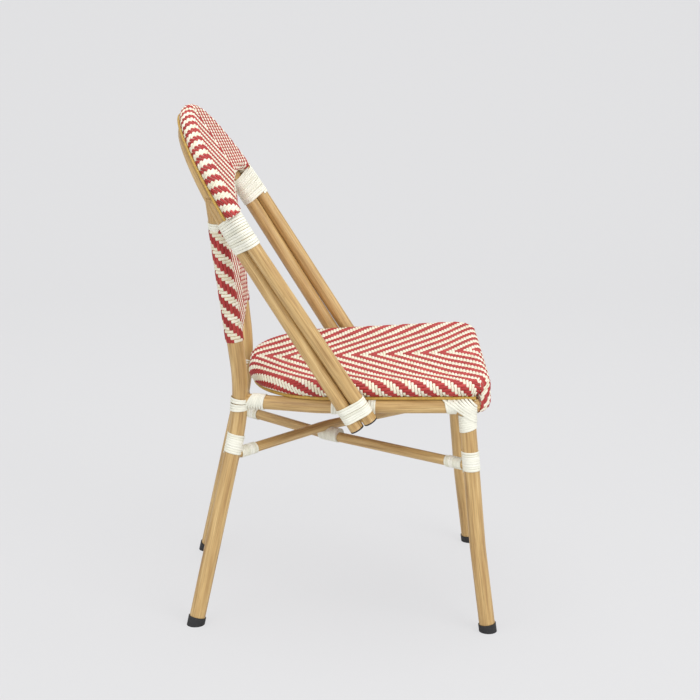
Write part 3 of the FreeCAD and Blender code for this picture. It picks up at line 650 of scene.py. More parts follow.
def woven_parts(columns, rows, pitches, surface, apex_low, shift, behind=False):
    """Both strand colours as floats on a surface, which maps places to points and normals. Behind, each
    colour shows where the other one does in front, and the faces turn the other way."""
    lengthwise = twill(columns, rows, apex_low, shift)
    if behind:
        lengthwise = ~lengthwise
    parts = {}
    for colour in ("red", "cream"):
        grid = lengthwise if colour == "red" else ~lengthwise.T
        strand, start, count = float_runs(grid)
        side, along, height, across = float_ribbons(strand, start, count, behind)
        if colour == "red":
            x, y = (side + columns[0]) * pitches[0], (along + rows[0]) * pitches[1]
            run, wide = y, pitches[0]
        else:
            x, y = (along + columns[0]) * pitches[0], (side + rows[0]) * pitches[1]
            run, wide = x, pitches[1]
        place, normal, zone = surface(x, y)
        points = (place + normal * (height * STRAND)[..., None]).reshape(-1, 3)
        n, a, w = side.shape
        faces = (grid_faces(a, w)[None] + (np.arange(n) * a * w)[:, None, None]).reshape(-1, 4)
        if (colour == "cream") != behind:
            faces = faces[:, ::-1]
        used, faces = kept_faces(points, faces, zone)
        tone = RNG.random(n)[:, None, None] * TONE_SPREAD + np.zeros_like(side)
        grain = np.stack([across * wide, run, tone], axis=-1).reshape(-1, 3)
        parts[colour] = (points[used], faces, grain[used])
    return parts


def painted_shade_sheet(columns, rows, pitches, surface):
    """A dark sheet just under the strands, so that no gap shows through: painted shade, standing in for the
    shadow between the strands.
    """
    x = np.arange(columns[0], columns[-1] + 1.5) * pitches[0]
    y = np.arange(rows[0], rows[-1] + 1.5) * pitches[1]
    place, normal, zone = surface(*np.meshgrid(x, y, indexing="ij"))
    points = (place - normal * SHADE_SHEET_DEPTH).reshape(-1, 3)
    used, faces = kept_faces(points, grid_faces(len(x), len(y)), zone)
    return points[used], faces, np.zeros((len(used), 3))


def woven_pieces(panel, parts):
    """A panel's red and cream strands as two pieces."""
    for colour, material in (("red", RED), ("cream", CREAM)):
        make_piece(panel + "_weave_" + colour, joined_parts([part[colour] for part in parts]),
                   material, [panel + "_weave"])


# Seat surface

def seat_corner(radius, y):
    """Where the rounding of a corner is centred: tangent to the side and to the front or rear."""
    m = seat_slope()
    return SEAT_FRONT_HALF + m * SEAT_FRONT - m * y - radius * math.hypot(1, m)


def seat_edge(ax, y):
    """How far outside the seat's outline a place lies, and the way out there. The outline is a side
    line, a corner arc at each end of it, and a straight front and rear."""
    slope = seat_slope()
    norm = math.hypot(1, slope)
    distance = (ax + slope * y - SEAT_FRONT_HALF - slope * SEAT_FRONT) / norm
    way_x, way_y = np.full_like(ax, 1 / norm), np.full_like(ax, slope / norm)
    for end_y, radius, face in ((SEAT_REAR, REAR_CORNER, 1.0), (SEAT_FRONT, FRONT_CORNER, -1.0)):
        centre_y = end_y - face * radius
        vx, vy = ax - seat_corner(radius, centre_y), y - centre_y
        size = np.maximum(np.hypot(vx, vy), LEAST_SIZE)
        corner = (vx > 0) & (face * (vy - slope * vx) > 0)
        straight = (vx <= 0) & (face * (y - end_y) > distance)
        distance = np.where(corner, size - radius, np.where(straight, face * (y - end_y), distance))
        way_x = np.where(corner, vx / size, np.where(straight, 0.0, way_x))
        way_y = np.where(corner, vy / size, np.where(straight, face, way_y))
    return distance, way_x, way_y


def seat_surface(x, y):
    """The seat's skin at a place of the flat weave: level inside the ring, with a dip that deepens
    from the ring inwards, a roll round the ring outside it, and at the front a drop and a second roll
    round the rail. Beyond the seam at the end of the front flap, places are drawn onto the seam."""
    reach = RING_R + LAID
    quarter = reach * math.pi / 2
    side = np.where(x < 0, -1.0, 1.0)
    front_y = SEAT_FRONT + FRONT_CORNER
    front_x = seat_corner(FRONT_CORNER, front_y)
    seam_y = SEAT_FRONT + FLAP_DEPTH
    seam_x = front_x + math.sqrt(FRONT_CORNER ** 2 - (front_y - seam_y) ** 2)
    in_flap = (np.abs(x) < seam_x + SEAM_MARGIN) & (y < front_y)
    ax = np.where(in_flap, np.minimum(np.abs(x), seam_x), np.abs(x))
    bulge = np.clip(ax - front_x, 0, FRONT_CORNER)
    edge_y = front_y - np.sqrt(FRONT_CORNER ** 2 - bulge ** 2)
    flap = in_flap & (y < edge_y)
    ax = np.where(flap, ax, np.abs(x))

    distance, way_x, way_y = seat_edge(ax, y)
    edge_x, side_y = ax - way_x * distance, y - way_y * distance
    past_seam = (~flap) & (distance > 0) & (side_y < seam_y)
    edge_x = np.where(past_seam, seam_x, edge_x)
    side_y = np.where(past_seam, seam_y, side_y)
    way_x = np.where(past_seam, (seam_x - front_x) / FRONT_CORNER, way_x)
    way_y = np.where(past_seam, (seam_y - front_y) / FRONT_CORNER, way_y)

    edge_x, edge_y = np.where(flap, ax, edge_x), np.where(flap, edge_y, side_y)
    way_x = np.where(flap, bulge / FRONT_CORNER, way_x)
    way_y = np.where(flap, (edge_y - front_y) / FRONT_CORNER, way_y)
    distance = np.where(flap, edge_y - y, distance)
    limit = np.where(flap, quarter + RAIL_DROP + reach * FLAP_TUCK, reach * SIDE_TUCK)
    zone = distance < limit + SEAT_PITCHES[0]
    distance = np.minimum(distance, limit)

    drop = np.where(flap, np.clip(distance - quarter, 0, RAIL_DROP), 0.0)
    angle = np.clip(distance - drop, 0, None) / reach
    inside = np.clip(-distance / DISH_RAMP, 0, 1)
    dip = SEAT_DISH * inside ** 2 * (3 - 2 * inside)
    level = distance <= 0
    outward = reach * np.sin(angle)
    points = np.stack([np.where(level, ax, edge_x + way_x * outward) * side,
                       np.where(level, y, edge_y + way_y * outward),
                       RING_Z + reach * np.cos(angle) - drop - dip], axis=-1)
    normal = np.stack([way_x * np.sin(angle) * side, way_y * np.sin(angle), np.cos(angle)], axis=-1)
    return tipped(points), normal, zone


def seat_underside(x, y):
    """The seat sheet's lower face, within the ring."""
    place, normal, zone = seat_surface(x, y)
    distance = seat_edge(np.abs(x), y)[0]
    return place - normal * STRAND, -normal, distance < -UNDERSIDE_INSET_SHARE * RING_R


def make_seat():
    """The woven seat: top, side band and front flap, a dark sheet and ring sleeve of painted shade under the
    strands, and the strands seen from below.
    """
    reach = RING_R + LAID
    side_roll = reach * SIDE_TUCK
    front_roll = reach * (math.pi / 2 + FLAP_TUCK) + RAIL_DROP
    px, py = SEAT_PITCHES
    columns = cells(-SEAT_FRONT_HALF - side_roll, SEAT_FRONT_HALF + side_roll, px)
    rows = cells(SEAT_FRONT - front_roll, SEAT_REAR + side_roll, py)
    inner = cells(-SEAT_FRONT_HALF, SEAT_FRONT_HALF, px)
    inner_rows = cells(SEAT_FRONT, SEAT_REAR, py)
    top = woven_parts(columns, rows, SEAT_PITCHES, seat_surface, False, SEAT_SHIFT)
    below = woven_parts(inner, inner_rows, SEAT_PITCHES, seat_underside, False, SEAT_SHIFT, behind=True)
    woven_pieces("seat", [top, below])
    # The dark sheet here and the ring's sleeve below are painted shade: they stand in for the shadow between
    # the strands
    sheet = painted_shade_sheet(columns, rows, SEAT_PITCHES, seat_surface)
    outline = [(0, SEAT_FRONT, RING_Z), (SEAT_FRONT_HALF, SEAT_FRONT, RING_Z),
               (seat_half(SEAT_REAR), SEAT_REAR, RING_Z), (-seat_half(SEAT_REAR), SEAT_REAR, RING_Z),
               (-SEAT_FRONT_HALF, SEAT_FRONT, RING_Z), (0, SEAT_FRONT, RING_Z)]
    ring = tipped(rounded(outline, [FRONT_CORNER, REAR_CORNER, REAR_CORNER, FRONT_CORNER], BEND_STEP))
    sleeve = round_bar(ring, RING_R + RING_SHADE_SLEEVE, sides=SLEEVE_SIDES)
    make_piece("seat_painted_shade", joined_parts([sheet, sleeve]), WEAVE_SHADE, ["seat_weave"])


# Neck panel surface

def neck_sizes():
    """The stile's middle line at the panel's foot and top, the panel's height along the stiles, how
    fast it widens, its mean half width and a stile's half turn."""
    low = at_height(REAR_LEG[1], REAR_LEG[2], NECK_LOW)
    high = at_height(REAR_LEG[1], REAR_LEG[2], NECK_HIGH)
    length = math.hypot(high[1] - low[1], high[2] - low[2])
    spread = (high[0] - low[0]) / length
    return low, high, length, spread, low[0] + spread * length / 2, (LEG_R + LAID) * math.pi


def neck_surface(front):
    """The neck panel's front or back: a slab between the stiles as thick as its bars, rounded over
    them at the top and foot, that swells to the stiles and, on the front, rolls right round them."""
    low, high, length, spread, middle, half_turn = neck_sizes()
    half_turn = half_turn if front else 0.0
    rise = unit(np.array((0, high[1] - low[1], high[2] - low[2])))
    facing = np.array((0, -rise[2], rise[1]))
    way = 1.0 if front else -1.0
    reach = LEG_R + LAID
    bar = NECK_BAR_R + LAID

    def surface(x, y):
        side = np.where(x < 0, -1.0, 1.0)
        ax = np.abs(x)
        run = np.clip(y, 0, length)
        edge = low[0] + spread * run
        flat = np.minimum(ax, middle) / middle * edge
        angle = np.clip(ax - middle, 0, half_turn) / reach
        near_stile = np.clip((ax - middle + STILE_SWELL) / STILE_SWELL, 0, 1)
        over_bar = np.minimum(np.minimum(run, length - run), bar)
        fall = (bar - np.sqrt(np.maximum(bar ** 2 - (bar - over_bar) ** 2, 0))) * (1 - near_stile)
        thick = np.where(angle > 0, reach * np.cos(angle), reach - (1 - near_stile) * (reach - bar) - fall)
        across = side * (flat + reach * np.sin(angle))
        place = np.array((0, low[1], low[2])) + combined((across, ACROSS), (run, rise), (way * thick, facing))
        tilt = np.where(angle > 0, 0, (bar - over_bar) / bar * (1 - near_stile))
        tilt = np.clip(tilt, 0, MOST_TILT) * np.where(run < length / 2, -1.0, 1.0)
        normal = combined((side * np.sin(angle), ACROSS),
                          (way * np.cos(angle) * np.sqrt(1 - tilt ** 2), facing), (tilt, rise))
        past_x, past_y = FLOAT_PAST * NECK_PITCHES[0], FLOAT_PAST * NECK_PITCHES[1]
        zone = (ax < middle + half_turn + past_x) & (y > -past_y) & (y < length + past_y)
        return place, normal, zone

    return surface


def make_neck():
    """The woven neck panel: front, round both stiles, and back; over the bars at top and bottom."""
    length, spread, middle, half_turn = neck_sizes()[2:]
    px, py = NECK_PITCHES
    rows = cells(0, length, py)
    parts, sheets = [], []
    for front, half in ((True, middle + half_turn), (False, middle)):
        columns = cells(-half, half, px)
        surface = neck_surface(front)
        woven = woven_parts(columns, rows, NECK_PITCHES, surface, True, NECK_SHIFT)
        if not front:
            woven = {colour: (points, faces[:, ::-1], grain)
                     for colour, (points, faces, grain) in woven.items()}
        parts.append(woven)
        # The neck's dark sheets are painted shade under the strands
        sheets.append(painted_shade_sheet(columns, rows, NECK_PITCHES, surface))
    woven_pieces("neck", parts)
    make_piece("neck_painted_shade", joined_parts(sheets), WEAVE_SHADE, ["neck_weave"])


# Arch panel surface

def foot_line(x):
    """The middle of the bent bar at the panel's foot, up the hoop's plane: a low arch that sags again
    where it meets the tube."""
    level = PANEL_START + BAR_INSET
    share = np.clip(np.abs(x) / FRONT.width(level), 0, 1)
    return level + PANEL_RISE * (1 - share ** 2) - FOOT_SAG * share ** 6


def arch_surface(x, y):
    """The arch panel's front: a flat sheet that rolls round the hoop's tube beyond its middle line,
    and round the bent bar at its foot. Near the tube the foot runs straight down to the binding."""
    reach = HOOP_R + LAID
    bar_reach = BAR_R + LAID
    vx, vy = x, y - FRONT.centre
    size = np.maximum(np.hypot(vx, vy), LEAST_SIZE)
    over = np.clip(size - FRONT.radius, 0, reach * ARCH_TUCK)
    angle = over / reach
    on_tube = over > 0
    way_x, way_y = vx / size, vy / size
    out = FRONT.radius + reach * np.sin(angle)
    across = np.where(on_tube, way_x * out, x)
    along = np.where(on_tube, FRONT.centre + way_y * out, y)
    sheet = reach - SHEET_BEHIND * np.clip((FRONT.radius - size) / BAR_R, 0, 1)
    forward = np.where(on_tube, reach * np.cos(angle), sheet)

    middle = foot_line(x)
    turn = np.clip(middle - y, 0, bar_reach * FOOT_TUCK) / bar_reach
    rim = (np.abs(x) - FRONT.width(PANEL_START + BAR_INSET) + 2.0 * RIM_WIDTH) / RIM_WIDTH
    rim = np.clip(rim, 0, 1)
    curled = (turn > 0) & (rim < 1)
    rim = rim ** 2 * (3 - 2 * rim)
    along_bar = middle - bar_reach * np.sin(turn)
    forward_bar = HOOP_R - BAR_R - BAR_BEHIND + bar_reach * np.cos(turn)
    along_rim = np.maximum(along, PANEL_START)
    along = np.where(curled, along_bar * (1 - rim) + along_rim * rim, along_rim)
    forward = np.where(curled, forward_bar * (1 - rim) + forward * rim, forward)

    lean = np.where(curled, turn * (1 - rim), 0.0)
    normal = combined((np.sin(angle) * way_x, ACROSS), (np.sin(angle) * way_y - np.sin(lean), FRONT.up),
                      (np.cos(angle) * np.cos(lean), FRONT.front))
    zone = size < FRONT.radius + reach * ARCH_TUCK + FLOAT_PAST * ARCH_PITCHES[0]
    lowest = np.where(rim < 1, middle - bar_reach * FOOT_TUCK, PANEL_START) - FLOAT_PAST * ARCH_PITCHES[1]
    return FRONT.at(across, along, forward), unit(normal), zone & (y > lowest)


def arch_back_surface(x, y):
    """The arch panel's back, inside the hoop's tube and above the bent bar."""
    size = np.hypot(x, y - FRONT.centre)
    forward = np.full_like(x, HOOP_R + LAID - SHEET_BEHIND - 2 * STRAND)
    zone = (size < FRONT.radius - UNDERSIDE_INSET_SHARE * HOOP_R) & (y > foot_line(x))
    return FRONT.at(x, y, forward), np.broadcast_to(-FRONT.front, x.shape + (3,)), zone


def make_arch():
    """The woven arch panel: a flat face, round the front hoop's tube to its trim, and round its foot."""
    px, py = ARCH_PITCHES
    outer = FRONT.radius + (HOOP_R + LAID) * ARCH_TUCK
    columns = cells(-outer, outer, px)
    level = PANEL_START + BAR_INSET
    rows = cells(level - FOOT_SAG - (BAR_R + LAID) * FOOT_TUCK, FRONT.centre + outer, py)
    front = woven_parts(columns, rows, ARCH_PITCHES, arch_surface, True, ARCH_SHIFT)
    back = woven_parts(columns, rows, ARCH_PITCHES, arch_back_surface, True, ARCH_SHIFT, behind=True)
    woven_pieces("arch", [front, back])
    # The arch's dark sheet is painted shade under the strands
    make_piece("arch_painted_shade", painted_shade_sheet(columns, rows, ARCH_PITCHES, arch_surface), WEAVE_SHADE,
               ["arch_weave"])
    start = math.asin((PANEL_START - FRONT.centre) / FRONT.radius)
    sleeve = round_bar(FRONT.arc(start, FRONT.radius), HOOP_R + ARCH_SLEEVE, FRONT.front,
                       SLEEVE_SIDES)
    half = FRONT.width(level)
    across = np.linspace(-half, half, HEM_STEPS)
    hem_route = FRONT.at(across, foot_line(across), HOOP_R - BAR_R - BAR_BEHIND)
    hem = round_bar(hem_route, BAR_R + ARCH_SLEEVE, FRONT.front, HEM_SIDES)
    make_piece("arch_sleeve", joined_parts([sleeve, hem]), CREAM, ["arch_weave"])


# Windings: flat domed strap carried round one bar, or two side by side

def strap_along(middle, side, outward, radius, length, tone):
    """The strap's closed section at every point of a line: across it to the side, out from a radius.
    The grain holds the place across, the length run and a tone."""
    across = np.array(STRAP_ACROSS_SHARES) * STRAP_WIDTH
    out = radius + np.array(STRAP_OUT_SHARES) * STRAP_THICK
    points = middle[:, None] + side[:, None] * across[:, None] + outward[:, None] * out[:, None]
    grain = np.broadcast_arrays(across, length[:, None], np.reshape(tone, (-1, 1)))
    return points, np.stack(grain, axis=-1)


def wound_strap(centre_at, turns, radius, half_gap=0.0, seed=0):
    """A strap wound round a bar of a radius, or round two whose middles are two half gaps apart:
    the loop is a stadium of half turns and straight runs, and moves one pitch along in each turn."""
    phase = np.linspace(0, turns, turns * STEPS_PER_TURN + 1)
    marks = np.cumsum((0, math.pi * radius, 2 * half_gap, math.pi * radius, 2 * half_gap))
    run = np.mod(phase, 1.0) * marks[-1]
    angle = np.interp(run, marks, np.array((-1, 1, 1, 3, 3)) * math.pi / 2)
    shift = np.interp(run, marks, np.array((1, 1, -1, -1, 1)) * half_gap)
    uneven = np.random.default_rng(seed).normal(0, TURN_WOBBLE_SHARE, turns + 2)
    wobble = np.interp(phase, np.arange(turns + 2), uneven)
    centre, axis, across_way = centre_at((phase - turns / 2 + wobble) * STRAP_PITCH)
    outward = combined((np.cos(angle), across_way), (np.sin(angle), np.cross(axis, across_way)))
    middle = centre + shift[:, None] * across_way
    tone = np.floor(phase) * TURN_TONE + seed
    points, faces, grain = with_ends(*strap_along(middle, axis, outward, radius, phase * marks[-1], tone))
    return points, faces[:, ::-1], grain


def straight_centre(start, end, distance):
    """A straight bar's middle, seen from a distance along it."""
    axis = unit(end - start)
    across = unit(ACROSS - axis * (ACROSS @ axis))

    def centre_at(place):
        place = np.asarray(place)[:, None]
        ones = np.ones_like(place)
        return start + axis * (distance + place), axis * ones, across * ones

    return centre_at


def route_centre(route, distance):
    """A bent bar's middle, seen from a distance along its route. Cross directions are taken from the
    upright on a nearly level bar, and from the depth on an upright one."""
    fine = resampled(route, FINE_STEP)
    reference = UPRIGHT if abs(fine[-1, 2] - fine[0, 2]) < LEVEL_WITHIN else DEPTH
    tangents, first = frames_along(fine, reference)[:2]
    run = runs(fine)

    def picked(rows, where):
        return np.stack([np.interp(where, run, rows[:, k]) for k in range(3)], axis=1)

    def centre_at(place):
        where = distance + np.asarray(place)
        return picked(fine, where), unit(picked(tangents, where)), unit(picked(first, where))

    return centre_at


def distance_to(route, axis, value):
    """How far along a route its first crossing of a value on an axis lies."""
    fine = resampled(route, FINE_STEP)
    over = fine[:, axis] - value
    k = np.nonzero(over[:-1] * over[1:] <= 0)[0][0]
    return runs(fine)[k]


def hoop_pair_centre(along):
    """The middle between both hoop tubes of the left side near a place up the front hoop's plane."""
    def pair(place):
        front = FRONT.at(FRONT.width(place), place)
        rear_along = (front - REAR.origin) @ REAR.up
        return front, REAR.at(REAR.width(rear_along), rear_along)

    def centre_at(place):
        place = along + np.asarray(place, float)
        front, rear = pair(place)
        ahead_front, ahead_rear = pair(place + FINE_STEP)
        axis = unit(ahead_front + ahead_rear - front - rear)
        across = front - rear
        across = unit(across - axis * np.sum(across * axis, axis=-1, keepdims=True))
        return (front + rear) / 2, axis, across

    front, rear = pair(np.array([along]))
    return centre_at, np.linalg.norm(front - rear) / 2


def blended_distance(points, bars):
    """How far points lie outside several round bars with domed ends, smoothly blended between them."""
    total = 0
    for start, end, radius in bars:
        line = end - start
        share = np.clip((points - start) @ line / (line @ line), 0, 1)
        away = np.linalg.norm(points - start - share[..., None] * line, axis=-1) - radius
        total = total + np.exp(-away / LASH_BLEND)
    return -LASH_BLEND * np.log(total)


def lashed_loop(bars, centre, normal, layer, seed):
    """A taut strap loop round bars in one tilted plane. Rays in the plane run out from the centre to
    the bars' surface; where it is hollow the strap bridges it, as the outline's support lines say.
    The strap lies flat on the blended surface."""
    first = unit(np.cross(normal, LASH_REFERENCE))
    second = np.cross(unit(normal), first)
    turn = np.linspace(0, 2 * math.pi, LASH_RAYS, endpoint=False)
    ray = combined((np.cos(turn), first), (np.sin(turn), second))
    low, high = np.zeros(LASH_RAYS), np.full(LASH_RAYS, LASH_REACH)
    for _ in range(LASH_HALVINGS):
        middle = (low + high) / 2
        inside = blended_distance(centre + ray * middle[:, None], bars) < layer
        low, high = np.where(inside, middle, low), np.where(inside, high, middle)
    support = (ray * low[:, None] @ ray.T).max(axis=0)
    slope = (np.roll(support, -1) - np.roll(support, 1)) / (2 * turn[1])
    sideways = combined((-np.sin(turn), first), (np.cos(turn), second))
    hull = centre + support[:, None] * ray + slope[:, None] * sideways
    hull = resampled(hull, LASH_STEP, closed=True)
    probes = LASH_PROBE * np.eye(3)
    outward = unit(np.stack([blended_distance(hull + step, bars) - blended_distance(hull - step, bars)
                             for step in probes], axis=-1))
    tangent = unit(np.roll(hull, -1, axis=0) - np.roll(hull, 1, axis=0))
    outward = unit(outward - tangent * np.sum(outward * tangent, axis=-1, keepdims=True))
    points, grain = strap_along(hull, np.cross(tangent, outward), outward, 0.0, runs(hull), seed)
    faces = grid_faces(len(hull), points.shape[1], closed_rows=True, closed_columns=True)
    return faced_outwards((points, faces, grain))


def faced_outwards(part):
    """A closed loop with its faces turned outwards, told from its signed volume."""
    points, faces, grain = part
    corners = points.reshape(-1, 3)[faces]
    volume = np.sum(corners[:, 0] * np.cross(corners[:, 1], corners[:, 2]))
    volume += np.sum(corners[:, 0] * np.cross(corners[:, 2], corners[:, 3]))
    return points, faces if volume > 0 else faces[:, ::-1], grain


def lashed_row(bars, start, way, places, facing, turning, seed, layers=(STRAP_LAY, STRAP_LAY)):
    """Loops at places along a way. The first one is square to a direction, each next one's direction
    is a step further on, and even and odd ones lie on layers of their own."""
    return [lashed_loop(bars, start + way * place, unit(facing + turning * k), layers[k % 2], seed + k)
            for k, place in enumerate(places)]


def flipped(part):
    """A strap part on the other side, its faces turned to point outwards again."""
    points, faces, grain = part
    return mirrored(points), faces[:, ::-1], grain


def winding_piece(name, parts, node):
    """One winding's straps as a piece."""
    make_piece(name, joined_parts(parts), BINDING, [node])


def winding_pair(name, parts, node):
    """A left winding and its mirror image."""
    winding_piece(name + "_left", parts, node + "_left")
    winding_piece(name + "_right", [flipped(part) for part in parts], node + "_right")


def front_joint_straps():
    """The front joint's lashing: turns round the rail and the leg under diagonals round both."""
    top = FRONT_LEG[2]
    down = unit(FRONT_LEG[1] - top)
    ahead, behind = SEAT_FRONT, SEAT_REAR
    rearward = unit(tipped(np.array((seat_half(behind), behind, RAIL_Z)))
                    - tipped(np.array((seat_half(ahead), ahead, RAIL_Z))))
    leg_bar = (top, top + down * FRONT_STUB, LEG_R)
    rail_bar = (top - rearward * RAIL_BEFORE_LEG, top + rearward * STUB, RAIL_R)
    first, step = FRONT_SLEEVE_TILTS
    sleeve = lashed_row([rail_bar], top, rearward, FRONT_SLEEVE_AT, rearward + down * first, down * step,
                        seed=20)
    first, step = FRONT_BAND_TILTS
    band = lashed_row([leg_bar], top, down, FRONT_BAND_AT, down + rearward * first, rearward * step,
                      seed=30)
    across = unit(down + rearward * DIAGONAL_SLANT)
    start = top + down * DIAGONAL_START[0] + rearward * DIAGONAL_START[1]
    first, step = DIAGONAL_TILTS
    diagonals = lashed_row([leg_bar, rail_bar], start, across, DIAGONAL_AT, across + down * first,
                           down * step, seed=40, layers=DIAGONAL_LAYERS)
    return sleeve + band + diagonals


def rear_joint_straps(rail, rear_leg):
    """The rear joint's lashing: turns round the leg, and a leaning sleeve round the rail's end."""
    fine = resampled(rail, FINE_STEP)
    start = fine[0]
    way = unit(fine[np.searchsorted(runs(fine), RAIL_CHORD)] - start)
    leg = resampled(rear_leg, FINE_STEP)
    low = leg[np.argmin(np.abs(leg[:, 2] - REAR_BAND_LOW))]
    high = leg[np.argmin(np.abs(leg[:, 2] - REAR_BAND_HIGH))]
    up = unit(high - low)
    first, step = REAR_BAND_TILTS
    band = lashed_row([(low, high, LEG_R)], low, up, REAR_BAND_AT, up + way * first, way * step,
                      seed=50)
    (along, along_step), (lean, lean_step) = REAR_SLEEVE_ALONG, REAR_SLEEVE_UP
    sleeve = lashed_row([(start, start + way * STUB, RAIL_R)], start, way, REAR_SLEEVE_AT,
                        way * along + up * lean, way * along_step + up * lean_step, seed=60)
    return band + sleeve


def make_stretcher_straps(rear_leg, front_leg):
    """A sleeve on each end of each stretcher, with a band on the leg that carries it."""
    for side, hand in ((1, "left"), (-1, "right")):
        for place, leg, band_z, owner in (
                ("rear", rear_leg, STRETCHER_REAR_Z + REAR_BAND_RISE, side),
                ("front", front_leg, STRETCHER_FRONT_Z + FRONT_BAND_RISE, -side)):
            rear, crossing, front = stretcher_points(owner)
            end = rear if place == "rear" else front
            sleeve = wound_strap(straight_centre(end, crossing, SLEEVE_AT), STRETCHER_TURNS,
                                 STRETCHER_R + STRAP_LAY, seed=11)
            band = wound_strap(route_centre(leg, distance_to(leg, 2, band_z)), STRETCHER_TURNS,
                               LEG_R + STRAP_LAY, seed=12)
            winding_piece(place + "_stretcher_strap_" + hand, [sleeve, band if side > 0 else flipped(band)],
                          place + "_stretcher_winding_" + hand)


def make_crossing_strap():
    """The strap round the lower stretcher where the upper one crosses it, on a filled middle."""
    rear, crossing, front = stretcher_points(1)
    bent = rounded([rear, crossing, front], [CROSSING_R], STRETCHER_STEP)
    behind, ahead = np.linalg.norm(crossing - rear), np.linalg.norm(front - crossing)
    length = runs(resampled(bent, FINE_STEP))[-1]
    middle = route_centre(bent + (0, 0, CROSSING_LIFT), length * behind / (behind + ahead) + CROSSING_AHEAD)
    core_route = middle(np.linspace(-CORE_HALF_TURNS, CORE_HALF_TURNS, CORE_STEPS) * STRAP_PITCH)[0]
    radius = STRETCHER_R + CROSSING_LIFT
    core = round_bar(core_route, radius + CORE_PROUD, seed=14)
    strap = wound_strap(middle, CROSSING_TURNS, radius, seed=14)
    winding_piece("crossing_strap", [core, strap], "crossing_winding")


def make_windings():
    """Every strap winding."""
    rear_leg = leg_route(REAR_LEG, REAR_BEND_R)
    front_leg = leg_route(FRONT_LEG, FRONT_BEND_R)
    rail = rail_route()
    for name, turns, along, seed in (
            ("upper", UPPER_BINDING_TURNS, UPPER_BINDING_AT, 1),
            ("lower", LOWER_BINDING_TURNS, FRONT_HOOP["end"] + LOWER_BINDING_RISE, 2)):
        centre, half_gap = hoop_pair_centre(along)
        winding_pair("hoop_strap_" + name, [wound_strap(centre, turns, HOOP_R + STRAP_LAY, half_gap, seed)],
                     "hoop_winding_" + name)
    arm_y = hoop_pair_centre(FRONT_HOOP["end"] + RAIL_LOOP_RISE)[0](np.zeros(1))[0][0, 1]
    loops = []
    for seed, y in ((3, arm_y + RAIL_LOOP_REACH), (4, arm_y - RAIL_LOOP_REACH)):
        centre = route_centre(rail, distance_to(rail, 1, y))
        loops.append(wound_strap(centre, RAIL_LOOP_TURNS, RAIL_R + STRAP_LAY, seed=seed))
    winding_pair("rail_straps", loops, "rail_loops")
    winding_pair("rear_joint_strap", rear_joint_straps(rail, rear_leg), "rear_joint_winding")
    winding_pair("front_joint_strap", front_joint_straps(), "front_joint_winding")
    stile = route_centre(rear_leg, distance_to(rear_leg, 2, NECK_RING_Z))
    winding_pair("neck_strap", [wound_strap(stile, NECK_RING_TURNS, LEG_R + STRAP_LAY, seed=10)], "neck_ring")
    make_stretcher_straps(rear_leg, front_leg)
    make_crossing_strap()


# Frame tubes, trims, caps

def make_tubes():
    """Every visible tube with its grain running along it."""
    rear, front = leg_route(REAR_LEG, REAR_BEND_R), leg_route(FRONT_LEG, FRONT_BEND_R)
    lower, upper = [rounded(stretcher_points(side), [CROSSING_R], STRETCHER_STEP) for side in (1, -1)]
    for name, node, route, radius, reference, seed in (
            ("front_hoop_tube", "back_hoop_front", FRONT.route(), HOOP_R, FRONT.front, 0.0),
            ("rear_hoop_tube", "back_hoop_rear", REAR.route(), HOOP_R, REAR.front, 1.3),
            ("rear_leg_tube_left", "rear_leg_left", rear, LEG_R, DEPTH, 2.1),
            ("rear_leg_tube_right", "rear_leg_right", mirrored(rear), LEG_R, DEPTH, 3.7),
            ("front_leg_tube_left", "front_leg_left", front, LEG_R, DEPTH, 4.4),
            ("front_leg_tube_right", "front_leg_right", mirrored(front), LEG_R, DEPTH, 5.9),
            ("seat_rail_tube", "seat_rail", rail_route(), RAIL_R, UPRIGHT, 6.2),
            ("stretcher_lower_tube", "stretcher_lower", lower, STRETCHER_R, UPRIGHT, 7.5),
            ("stretcher_upper_tube", "stretcher_upper", upper, STRETCHER_R, UPRIGHT, 8.8)):
        tube = round_bar(resampled(route, TUBE_STEP), radius, reference, TUBE_SIDES, seed)
        make_piece(name, tube, BAMBOO, [node])


def make_trims():
    """The slim gold trims: one round the seat above the rail, one on the arch's tube behind the weave."""
    z = RING_Z - RAIL_DROP * SEAT_TRIM_DROP_SHARE
    half_front, half_rear = SEAT_FRONT_HALF + SEAT_TRIM_OUTSET, seat_half(SEAT_REAR) + SEAT_TRIM_OUTSET
    rear = SEAT_REAR + SEAT_TRIM_OUTSET
    outline = [(half_front, SEAT_TRIM_FRONT, z), (half_rear, rear, z), (-half_rear, rear, z),
               (-half_front, SEAT_TRIM_FRONT, z)]
    corner = REAR_CORNER + SEAT_TRIM_OUTSET
    route = resampled(tipped(rounded(outline, [corner, corner], BEND_STEP)), TRIM_STEP)
    cord = round_bar(route, SEAT_TRIM_R, sides=TRIM_SIDES)
    make_piece("seat_trim_cord", cord, GOLD, ["seat_trim"])
    reach = HOOP_R + STRAND + ARCH_TRIM_GAP + ARCH_TRIM_R
    radius = FRONT.radius + reach * math.sin(ARCH_TRIM_BEARING)
    start = math.asin((PANEL_START - FRONT.centre) / radius)
    route = FRONT.arc(start, radius, reach * math.cos(ARCH_TRIM_BEARING), ARCH_TRIM_STEPS)
    cord = round_bar(route, ARCH_TRIM_R, FRONT.front, TRIM_SIDES)
    make_piece("arch_trim_cord", cord, GOLD, ["arch_trim"])


def finish_cad_nodes():
    """Finishes for the nodes that stay as they are."""
    for name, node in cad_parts.items():
        if name.startswith("foot_cap") or name == "hoop_end_plugs":
            material = BLACK
        elif name in ("arch_bar", "neck_bar_top", "neck_bar_bottom"):
            material = CREAM
        elif name == "seat_ring":
            material = ALUMINIUM
        else:
            continue
        node.data.materials.clear()
        node.data.materials.append(material)


# Stage, light and camera

